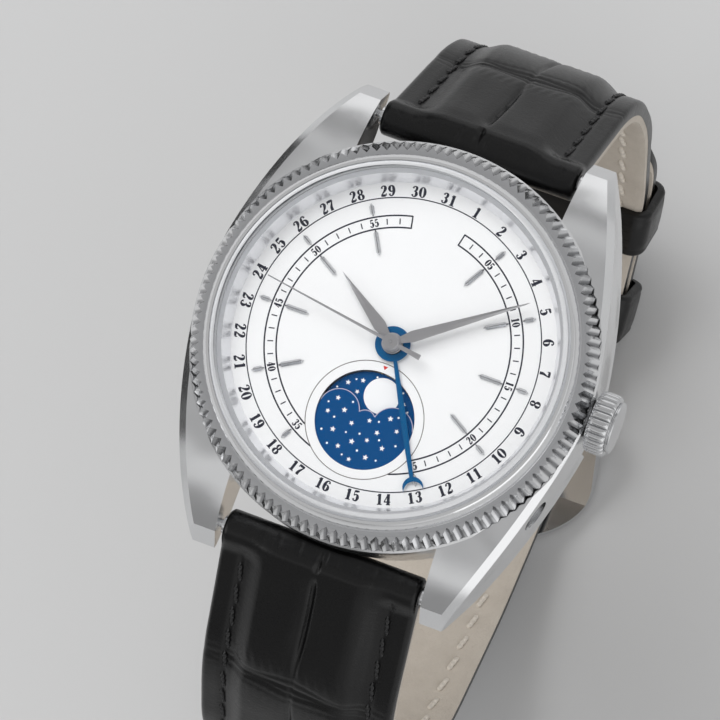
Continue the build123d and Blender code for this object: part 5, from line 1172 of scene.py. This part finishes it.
    def add(self, shell: Shell, ring: Array, uv: Array) -> Shell:
        """Adds rings with their faces outward, mirrored for a half that runs towards 6 o'clock."""
        if self.mirrored:
            return shell.rings(ring * [1, -1, 1], uv)
        return shell.rings(ring[:, ::-1], uv[:, ::-1])

    def wound(self, end: bool, count: int, half: float, share: Array) -> tuple[Array, Array, Array]:
        """Rings round a bar: the outer radius and the bore, from the lining's side to the outer face.

        Args:
            end: True for the buckle's bar, False for the spring bar.
            count: number of stations.
            half: half width at the bar.
            share: places of the columns from -1 to 1.

        Returns:
            Outer points, bore points and the distance along the outer face.
        """
        radius, bore = (self.loop, self.loop_bore) if end else (self.roll, self.bore)
        under = self.lining[-1 if end else 0]
        spot, ahead, normal = self.route.one(self.route.length if end else 0.0)
        turns = np.linspace(math.pi + math.acos(under / radius), 0.0, count)[::-1 if end else 1, None]
        way = normal * np.cos(turns) + (ahead if end else -ahead) * np.sin(turns)
        across = share * half
        phase = across / self.crease_pitch + 0.12 * turns + 0.2 * np.sin(across * 0.9)
        fade = hump(turns - self.crease_turn, 0.4) * (0.65 + 0.35 * np.sin(across * 2.3 + 1.0))
        away = (phase - np.floor(phase) - 0.5) * self.crease_pitch
        crease = self.crease_depth * hump(away, self.crease_width) * fade
        reach = radius - rolled(half - np.abs(across)) + np.zeros_like(turns)
        if not end:
            crease = crease + 0.34 * hump(across - self.middle[0], 0.26) * hump(turns, 0.9)
            reach = reach + self.swell(half - np.abs(across)) * (1 - soft_step(turns, 0.0, 1.0))
        outer = spot + way[:, None, :] * (reach - crease)[:, :, None]
        inner = spot + way[:, None, :] * bore
        points = [grid(across, side[..., 0], side[..., 1]) for side in (outer, inner)]
        return *points, -turns[:, 0] * radius

    def outer_leather(self, columns: int = 113) -> Shell:
        """Sweeps the closed section of the outer leather, with its roll and, at the buckle, its loop."""
        last = self.route.length
        run = np.linspace(0.0, last, int(last / self.route.step))
        half = self.halves(run, self.route.spot(run)[:, 1])
        share = self.spread(columns)
        across = share * half[:, None]
        lift = self.relief(run[:, None], across, half[:, None])
        rounded = self.rounded(across, half, self.along(run, self.leather))
        lift = lift + (rounded - lift) * (1 - soft_step(run, 0.0, 2.2))[:, None]
        low = np.sqrt(np.clip(self.bore**2 - run**2, 0, None))
        if self.buckle_loop:
            near = last - run
            low = np.maximum(low, np.sqrt(np.clip(self.loop_bore**2 - near**2, 0, None)))
            rounded = self.rounded(across, half, np.full(len(run), self.loop), 0.0)
            lift = lift + (rounded - lift) * (1 - soft_step(near, 0.3, 3.6))[:, None]
        else:
            close = soft_step(last - run, 0.0, 0.7)[:, None]
            lift = 0.25 + (lift - 0.25) * np.sqrt(close)
        base = np.broadcast_to(low[:, None], lift.shape) + 0.004
        start = self.wound(False, self.roll_stations, float(half_width(2.6)), share)
        tops, bottoms, runs = ([part[:-1]] for part in start)
        tops.append(self.place(run, lift, across))
        bottoms.append(self.place(run, base, across))
        runs.append(run)
        if self.buckle_loop:
            outer, inner, _ = self.wound(True, self.loop_stations, half[-1], share)
            tops.append(outer[1:])
            bottoms.append(inner[1:])
            runs.append(last + np.arange(1, self.loop_stations) * self.loop_step)
        top, bottom, run = (np.concatenate(parts) for parts in (tops, bottoms, runs))
        ring = np.concatenate([top, bottom[:, ::-7]], 1)
        return self.add(Shell(), ring, grid(ring[:, :, 0], run[:, None]))

    def rounded(self, across: Array, half: Array, full: Array, share: float = 1.0) -> Array:
        """Plain outer face with rounded edges, with that share of the pads' swell."""
        inset = half[:, None] - np.abs(across)
        return full[:, None] - rolled(inset) + self.swell(inset) * share

    def lining_layer(self, columns: int = 30) -> Shell:
        """Sweeps the lining's closed section along the seam, with rounded lower edges."""
        start, end = 1.62, self.route.length - (1.9 if self.buckle_loop else 0.0)
        run = np.linspace(start, end, int((end - start) / 0.8))
        half = self.halves(run, self.route.spot(run)[:, 1], 0.02)
        share = np.linspace(-1, 1, columns)
        across = np.sign(share) * np.abs(share) ** 0.7 * half[:, None]
        inset = half[:, None] - np.abs(across)
        groove = 0.08 * hump(inset - self.stitch_inset, 0.35)
        depth = rolled(inset, 0.4, 0.25) + groove - self.along(run, self.lining)[:, None]
        top, bottom = self.place(run, np.zeros_like(depth), across), self.place(run, depth, across)
        ring = np.concatenate([top, bottom[:, ::-1]], 1)
        return self.add(Shell(), ring, grid(ring[:, :, 0], run[:, None]))

    def stitches(self, outside: bool) -> Shell:
        """Lays a row of short threads along both edges: each is a flat ring that turns as it goes along.

        The turning ring makes the twist. Both ends sink into the leather.
        """
        shell = Shell()
        last = self.route.length
        centres = np.arange(4.0, last - (4.4 if self.buckle_loop else 8.5), self.pitch)
        length, thick, flat, slant, up = (
            (1.22, 0.235, 0.62, 0.16, 1) if outside else (0.95, 0.3, 0.85, 0.2, -1))
        t, turns = np.linspace(-1, 1, 18), around(8)
        spin = (t * length * math.pi / 0.62)[:, None]
        wide, tall = np.cos(turns), flat * np.sin(turns)
        radius = (thick * np.sqrt(np.clip(1 - t**6 * 0.97, 0, 1)))[:, None]
        radius[[0, -1]] = 0.03
        aside = radius * (wide * np.cos(spin) - tall * np.sin(spin))
        above = 0.8 * radius * (wide * np.sin(spin) + tall * np.cos(spin))
        uv = grid(turns / math.tau, (t * length)[:, None])
        for side in (-1, 1):
            for middle in centres:
                run = middle + t * length
                half = half_width(self.route.at(run)[0][:, 1])
                edge = half - self.stitch_inset
                if outside:
                    base = self.relief(run[6:12].mean(), side * edge.mean(), half.mean()) + 0.04
                else:
                    base = 0.05 - float(self.along(middle, self.lining))
                lift = base - 0.05 * up + 0.14 * up * (1 - t**4)
                across = side * edge + t * slant
                ring = self.place(run, lift[:, None] + above, across[:, None] + aside)
                self.add(shell, ring, uv)
        return shell

    def cut(self, piece: bpy.types.Object) -> bpy.types.Object:
        """Takes the cutters' bodies out of a piece and keeps the result as its mesh."""
        tools = Shell()
        for ring in self.cutters:
            tools.rings(ring)
        tool = tools.mesh("cutter")
        change = piece.modifiers.new("holes", "BOOLEAN")
        change.object, change.operation, change.solver = tool, "DIFFERENCE", "EXACT"
        depsgraph = bpy.context.evaluated_depsgraph_get()
        result = bpy.data.meshes.new_from_object(piece.evaluated_get(depsgraph))
        piece.modifiers.clear()
        piece.data = result
        bpy.data.objects.remove(tool)
        return piece

    def build(self, skins: dict[str, Material]) -> None:
        """Builds leather, lining and both rows of stitches."""
        for shell, layer, slot in ((self.outer_leather(), "leather", "black_leather"),
                                   (self.lining_layer(), "lining", "lining_leather")):
            piece = self.cut(shell.mesh(f"{self.name}_{layer}", 60.0))
            dress(piece, skins[layer], "head", slot, f"strap_{self.name}_{layer}")
        dress(self.stitches(True).mesh(f"{self.name}_stitches"), skins["thread"], "head", "black_leather")
        dress(self.stitches(False).mesh(f"{self.name}_lining_stitches"), skins["pale_thread"], "head",
              "lining_leather")


@dataclass
class Strap:
    """Both halves of the strap and its two keepers. Corners are (y, z), mirrored for the lower half."""

    upper_corners: tuple[Pair, ...] = (
        (21.3, 2.6), (32.8, -14.5), (32.5, -27.0), (27.2, -42.0), (15.5, -52.2), (4.5, -52.2))
    upper_radii: tuple[float, ...] = (20.0, 25.0, 16.0, 12.0)
    upper_grooves: tuple[Triple, ...] = (
        (13.2, 0.07, 0.3), (24.5, -0.06, 0.3), (37.0, 0.07, -0.25), (49.0, -0.06, 0.3), (61.0, 0.06, 0.2))
    lower_corners: tuple[Pair, ...] = (
        (21.3, 2.6), (32.5, -7.5), (38.8, -19.0), (38.5, -31.0), (30.5, -43.5), (17.0, -50.3), (8.5, -52.4),
        (-2.95, -54.7))
    lower_radii: tuple[float, ...] = (25.0, 18.0, 18.0, 18.0, 25.0, 30.0, 10.0, 14.5, 18.5)
    lower_grooves: tuple[Triple, ...] = (
        (14.2, 0.06, 0.2), (27.5, -0.06, -0.25), (40.5, 0.07, 0.3), (53.0, -0.06, 0.25), (65.5, 0.06, -0.2),
        (78.0, -0.06, 0.2), (90.5, 0.07, 0.2), (103.0, -0.06, 0.2))
    overlap: tuple[float, ...] = (0, 2.5, 3.3, 2.5, 2.5, 2.5)
    tail_share: float = 0.6
    slot_middle: Pair = (4.35, -52.2)
    slot_half: Triple = (1.05, 1.7, 6.0)
    tang_middle: Pair = (-2.7, -54.7)
    tang_half: Triple = (1.15, 4.1, 2.6)
    first_hole: Pair = (-4.5, -54.7)
    hole_count: int = 4
    hole_pitch: float = 6.0
    hole_radius: float = 0.85
    hole_reach: Pair = (-1.6, 2.4)
    keeper_shares: Pair = (0.685, 0.835)
    keeper_lift: float = 1.65
    keeper_gap: float = 0.32
    keeper_tall: float = 2.67
    keeper_round: float = 0.9
    keeper_section: tuple[Pair, ...] = (
        (-2.7, 0.0), (2.7, 0.0), (2.7, 0.45), (2.58, 0.72), (2.3, 0.84), (1.95, 0.78), (1.75, 0.86),
        (0.9, 0.9), (-0.9, 0.9), (-1.75, 0.86), (-1.95, 0.78), (-2.3, 0.84), (-2.58, 0.72), (-2.7, 0.45))

    def shifted(self, points: Array, offsets: Array) -> Array:
        """Moves each corner outward along its mitre by its own distance."""
        ahead = np.diff(points, axis=0)
        ahead /= np.hypot(*ahead.T)[:, None]
        unit = grid(-ahead[:, 1], ahead[:, 0])
        mitre = (unit[:-1] + unit[1:]) / (1 + (unit[:-1] * unit[1:]).sum(1))[:, None]
        return points + np.concatenate([unit[:1], mitre, unit[-1:]]) * offsets[:, None]

    def halves(self) -> tuple[StrapHalf, StrapHalf]:
        """Sets up the two halves, with the tail of the lower one laid over the upper one's buckle end."""
        upper = np.array(self.upper_corners)
        outside = self.shifted(upper, np.array(self.overlap))
        end = outside[3] + (outside[2] - outside[3]) * self.tail_share
        tail = np.array([outside[4], outside[3], end]) * [-1, 1]
        lower = np.concatenate([np.array(self.lower_corners), tail])
        first = StrapHalf(
            "upper", Route(upper, self.upper_radii, 0.16), (1.8, 2.3, 2.3, 1.5, 1.5, 1.5),
            (0.95, 0.95, 0.95, 0.7, 0.7, 0.7), False, self.upper_grooves, True, (-0.4, 0.05),
            cutters=[self.block(self.slot_middle, self.slot_half)])
        route = Route(lower, self.lower_radii, 0.2)
        second = StrapHalf(
            "lower", route, (1.8, 2.3, 2.3, 2.3, *[1.5] * 7), (0.95, 0.95, 0.95, 0.95, *[0.7] * 7), True,
            self.lower_grooves, False, (0.0, 0.0), cutters=self.holes(route))
        return first, second

    def block(self, middle: Pair, half: Triple) -> Array:
        """Corners of a box as two rings."""
        corners = np.array([(-1, -1), (1, -1), (1, 1), (-1, 1)])
        levels = [[middle[1] - half[2]], [middle[1] + half[2]]]
        return grid(corners[:, 0] * half[0], middle[0] + corners[:, 1] * half[1], levels)

    def holes(self, route: Route) -> list[Array]:
        """Rings of the tang's slot and of the spare holes, square to the tail."""
        found = [self.block(self.tang_middle, self.tang_half)]
        where = np.linspace(0, route.length, 4000)
        line = route.at(where)[0]
        near = where[np.argmin(np.hypot(*(line - self.first_hole).T))]
        x, y = self.hole_radius * np.cos(around(28)), self.hole_radius * np.sin(around(28))
        for index in range(self.hole_count):
            spot, ahead, normal = route.one(near + self.hole_pitch * (index + 0.5))
            ends = np.array([spot + normal * lift for lift in self.hole_reach])[:, None, :]
            yz = (ends + ahead * y[:, None]) * [-1, 1]
            found.append(grid(x, yz[..., 0], yz[..., 1]))
        return found

    def keeper(self, name: str, share: float, body: str, route: Route, skin: Material) -> None:
        """Builds a keeper: a rounded section carried round a rounded rectangle about the strap.

        Args:
            name: the CAD node that it stands for.
            share: its place along the upper half's seam.
            body: the CAD body that it rides on.
            route: the upper half's route.
            skin: its leather.
        """
        spot, ahead, normal = route.one(share * route.length)
        half = float(half_width(spot[1])) + self.keeper_gap
        turns = around(120)
        wide, rise = np.array(self.keeper_section).T
        x = np.sign(np.cos(turns)) * (half - self.keeper_round)
        y = np.sign(np.sin(turns)) * (self.keeper_tall - self.keeper_round)
        reach = self.keeper_round + rise
        flat = y[:, None] + np.sin(turns)[:, None] * reach
        yz = spot + normal * self.keeper_lift + normal * flat[..., None] + ahead * wide[:, None]
        ring = grid(x[:, None] + np.cos(turns)[:, None] * reach, yz[..., 0], yz[..., 1])
        uv = grid(wide, (turns * 6)[:, None])
        shell = Shell().rings(ring[:, ::-1], uv[:, ::-1], ends=False)
        dress(shell.mesh(f"{name}_band", 50.0), skin, body, "black_leather", name)

    def build(self, skins: dict[str, Material]) -> None:
        """Builds both halves and both keepers."""
        upper, lower = self.halves()
        upper.build(skins)
        lower.build(skins)
        for kind, share, body in zip(("loose", "fixed"), self.keeper_shares, ("keeper", "head")):
            self.keeper(f"{kind}_keeper", share, body, upper.route, skins["leather"])


# Frame finishes


class Metalwork:
    """Finishes of the CAD nodes that stay: case, bezel, glasses, buckle, dial and movement."""

    brass = ("barrel", "centre_wheel", "third_wheel", "fourth_wheel", "escape_wheel", "balance_wheel",
             "date_wheel", "hour_wheel", "calendar_wheel", "minute_wheel")
    bright = ("moon_corrector", "buckle_frame", "buckle_tang", "buckle_bar", "spring_bars")
    plates = ("main_plate", "train_bridge", "balance_cock")
    rim_inset = 0.42

    def finishes(self) -> dict[str, Material]:
        """Returns one material for each CAD node."""
        groups = (
            (self.brass, Metal("gilt_wheel", (0.78, 0.6, 0.3), 0.24, Grain.ROUND, 18.0)),
            (self.bright, Metal("polished_part")),
            (self.plates, StripedPlate("striped_plate")),
            (("case_back_gasket", "crown_gasket"), Paint(
                "seal", (0.03, 0.03, 0.03), (0.012, 0.012, 0.012), 1.0, 12.0, 0.01, 0.0, coat_roughness=0.03,
                detail=3.0, coarse=0.5, spread=(0.5, 0.2))),
            (("moon_cover", "moon_disc"), Paint(
                "night_blue", (0.0, 0.072, 0.235), (0.0, 0.06, 0.2), 0.36, 22.0, 0.002, 0.0, 0.12)),
            (("mid_case",), Metal("polished_case", (0.78, 0.785, 0.795), 0.19, wave=0.9)),
            (("bezel",), FlutedSteel("fluted_bezel")),
            (("crystal_gasket",), Paint("white_gasket", (0.62, 0.63, 0.65), (0.5, 0.51, 0.53), 0.3)),
            (("rehaut",), Metal("flange", (0.91, 0.915, 0.935), 0.36, Grain.ROUND, 22.0, 0.0015)),
            (("case_back",), Metal("brushed_back", (0.68, 0.685, 0.69), 0.2, Grain.ROUND)),
            (("dial",), Paint(
                "dial_satin", (0.93, 0.928, 0.926), (0.915, 0.913, 0.911), 0.42, 9.0, 0.002, 0.1)),
            (("hour_markers",), Metal("polished_marker", (0.6, 0.605, 0.62), 0.14, Grain.RAYS, 14.0, 0.002)),
            (("hairspring",), Metal("tempered_spring", (0.08, 0.14, 0.32), 0.25)),
            (("rotor",), StripedPlate("striped_rotor", (0.7, 0.69, 0.68), 1.4, 0.2)),
            (("jewels",), Paint(
                "ruby", (0.62, 0.01, 0.06), (0.42, 0.004, 0.03), 1.0, 2.0, 0.0, 0.6, coat_roughness=0.03,
                detail=2.0, coarse=0.5, spread=(0.06, 0.04))),
        )
        table = {}
        for nodes, finish in groups:
            table.update(dict.fromkeys(nodes, finish.make()))
        for node in ("crystal", "back_crystal"):
            table[node] = Glass(f"sapphire_{node}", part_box(node)[1].x / MM - self.rim_inset).make()
        plain = Metal("plain_steel_part", (0.62, 0.62, 0.63), 0.22, Grain.ROUND).make()
        return {name: table.get(name, plain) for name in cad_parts}

    def build(self) -> None:
        """Puts each finish on its node."""
        for name, material in self.finishes().items():
            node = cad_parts[name]
            node.data.materials.clear()
            node.data.materials.append(material)
        log.info("finishes on %d nodes", len(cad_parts))


# Studio


@dataclass(frozen=True)
class Lamp:
    """A softbox: a plain rectangle of light that looks at the dial."""

    name: str
    place: Triple
    size: Pair
    power: float
    mirrored: bool = True


@dataclass
class Studio:
    """Camera, floor, softboxes and the world round them."""

    camera_place: Triple = (0.12991, -0.06354, 0.66222)
    right: Triple = (0.92133817, 0.35723467, -0.15336025)
    up: Triple = (-0.33466687, 0.92955007, 0.15470863)
    back: Triple = (0.19782332, -0.09121438, 0.97598457)
    lens: float = 350.0
    lamps: tuple[Lamp, ...] = (
        Lamp("key", (-0.34, 0.36, 0.62), (0.62, 0.62), 4.7, False),
        Lamp("fill", (0.5, -0.28, 0.36), (0.7, 1.0), 1.15),
        Lamp("low", (-0.5, -0.3, 0.3), (0.4, 0.3), 0.6),
    )
    floor_radius: float = 900.0
    floor_depth: float = 4.0
    floor_gap: float = 0.02

    def camera(self) -> None:
        """Places the camera from its three axes."""
        data = bpy.data.cameras.new("camera")
        data.lens, data.sensor_width, data.clip_end, data.clip_start = self.lens, 36.0, 6.0, 0.01
        made = bpy.data.objects.new("camera", data)
        turn = Matrix((self.right, self.up, self.back)).transposed().to_4x4()
        made.matrix_world = Matrix.Translation(self.camera_place) @ turn
        bpy.context.scene.collection.objects.link(made)
        bpy.context.scene.camera = made

    def light(self) -> None:
        """Places the softboxes, out of the camera's own view; the key isn't mirrored in the metal."""
        for lamp in self.lamps:
            data = bpy.data.lights.new(lamp.name, "AREA")
            data.shape, data.size, data.size_y, data.energy = "RECTANGLE", *lamp.size, lamp.power
            made = bpy.data.objects.new(lamp.name, data)
            made.location = lamp.place
            made.rotation_euler = (-Vector(lamp.place)).to_track_quat("-Z", "Y").to_euler()
            made.visible_camera, made.visible_glossy = False, lamp.mirrored
            bpy.context.scene.collection.objects.link(made)

    def sky(self) -> None:
        """Makes the world: bands by height, darker low on the left, and a window beyond 12 o'clock."""
        graph = Graph("studio", True)
        x, y, z = Value(graph, graph.node("ShaderNodeTexCoord", {}).outputs["Generated"]).parts()
        low = 0.04 + 0.62 * x.step(-0.12, 0.35)
        high = 0.36 + 0.26 * z.step(0.62, 0.76) - 0.2 * z.step(0.8, 0.92) + 0.08 * z.step(0.93, 0.98)
        share = z.step(0.45, 0.68)
        window = (x * -0.15 + y * 0.96 + z * 0.22).step(0.9, 0.98) * 0.95
        front = (x * -0.2 + y * -0.9 + z * 0.38).step(0.8, 0.97) * 0.25
        light = low * (1.0 - share) + high * share + window + front
        shade = graph.node("ShaderNodeBackground", {"Color": (1.0, 1.0, 1.0, 1.0), "Strength": light})
        bpy.context.scene.world = graph.close(shade, "ShaderNodeOutputWorld")

    def floor(self) -> None:
        """Lays a plain pale floor under the lowest point of the strap."""
        top = min(corner[2] for corner in CAD_BOX) / MM - self.floor_gap
        outline = self.floor_radius * grid(np.cos(around(96)), np.sin(around(96)))
        made = Shell().plate(outline, top - self.floor_depth, top).mesh("floor")
        graph = Graph("pale_floor")
        mottle = graph.noise(graph.place(), 0.02, 3.0)
        made.data.materials.append(graph.surface({
            "Base Color": graph.mix(mottle, (0.55, 0.552, 0.555), (0.565, 0.565, 0.565)), "Roughness": 0.75,
        }))

    def build(self) -> None:
        """Builds the studio."""
        self.camera()
        self.light()
        self.sky()
        self.floor()
        bpy.context.scene.view_settings.view_transform = "Standard"
        log.info("studio: %d lamps", len(self.lamps))


class Watch:
    """The whole watch: its finishes, dial print, moon, hands and strap."""

    def skins(self) -> dict[str, Material]:
        """Leathers and threads of the strap."""
        return {
            "leather": Hide("black_hide").make(), "lining": Suede("lining_hide").make(),
            "thread": Thread("black_thread", (0.02, 0.02, 0.021)).make(),
            "pale_thread": Thread("beige_thread", (0.74, 0.68, 0.6), 0.86, 0.4, 0.01).make(),
        }

    def steels(self) -> dict[str, Material]:
        """Brushed steels of the hands, each with its grain along the hand."""
        return {
            name: Metal(f"brushed_{name}_hand", (0.56, 0.55, 0.56), 0.4, Grain.LENGTHWISE, 22.0, 0.003,
                        math.radians(90 - HAND_ANGLES[name])).make()
            for name in ("hour", "minute", "second")
        }

    def build(self) -> None:
        """Builds the pieces in order."""
        Metalwork().build()
        disc, cover = (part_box(node)[1].z / MM for node in ("moon_disc", "moon_cover"))
        ink = Paint("navy_ink", (0.012, 0.013, 0.03), (0.006, 0.007, 0.018), 0.4, 12.0, 0.002, 0.2).make()
        fine_ink = Paint("grey_ink", (0.16, 0.145, 0.13), (0.12, 0.11, 0.1)).make()
        white = Paint("white_print", (0.95, 0.95, 0.95), (0.92, 0.92, 0.925), 0.45, coat=0.05).make()
        # Painted highlight for the moon cover's cut edge.
        edge_highlight = Paint("lilac_edge_highlight", (0.62, 0.6, 0.72), (0.5, 0.48, 0.62), 0.3).make()
        red = Paint("red_print", (0.7, 0.02, 0.015), (0.6, 0.015, 0.01)).make()
        blue = Paint("blue_hand", (0.0, 0.1, 0.26), (0.0, 0.085, 0.225), 0.3, 14.0, 0.002, 0.03, 0.2).make()
        Print().build(ink, fine_ink)
        MoonFace(disc, cover).build(white, edge_highlight, red)
        Hands().build(self.steels(), blue)
        Crown().build(Metal("crown_steel", (0.66, 0.665, 0.675), 0.14).make())
        ReturnSpring().build(Metal("spring_steel", (0.62, 0.62, 0.63), 0.22).make())
        Strap().build(self.skins())


def main() -> None:
    """Builds the studio and the watch."""
    logging.basicConfig(level=logging.INFO, format="%(message)s")
    Studio().build()
    Watch().build()


if __name__ == "__main__":
    main()
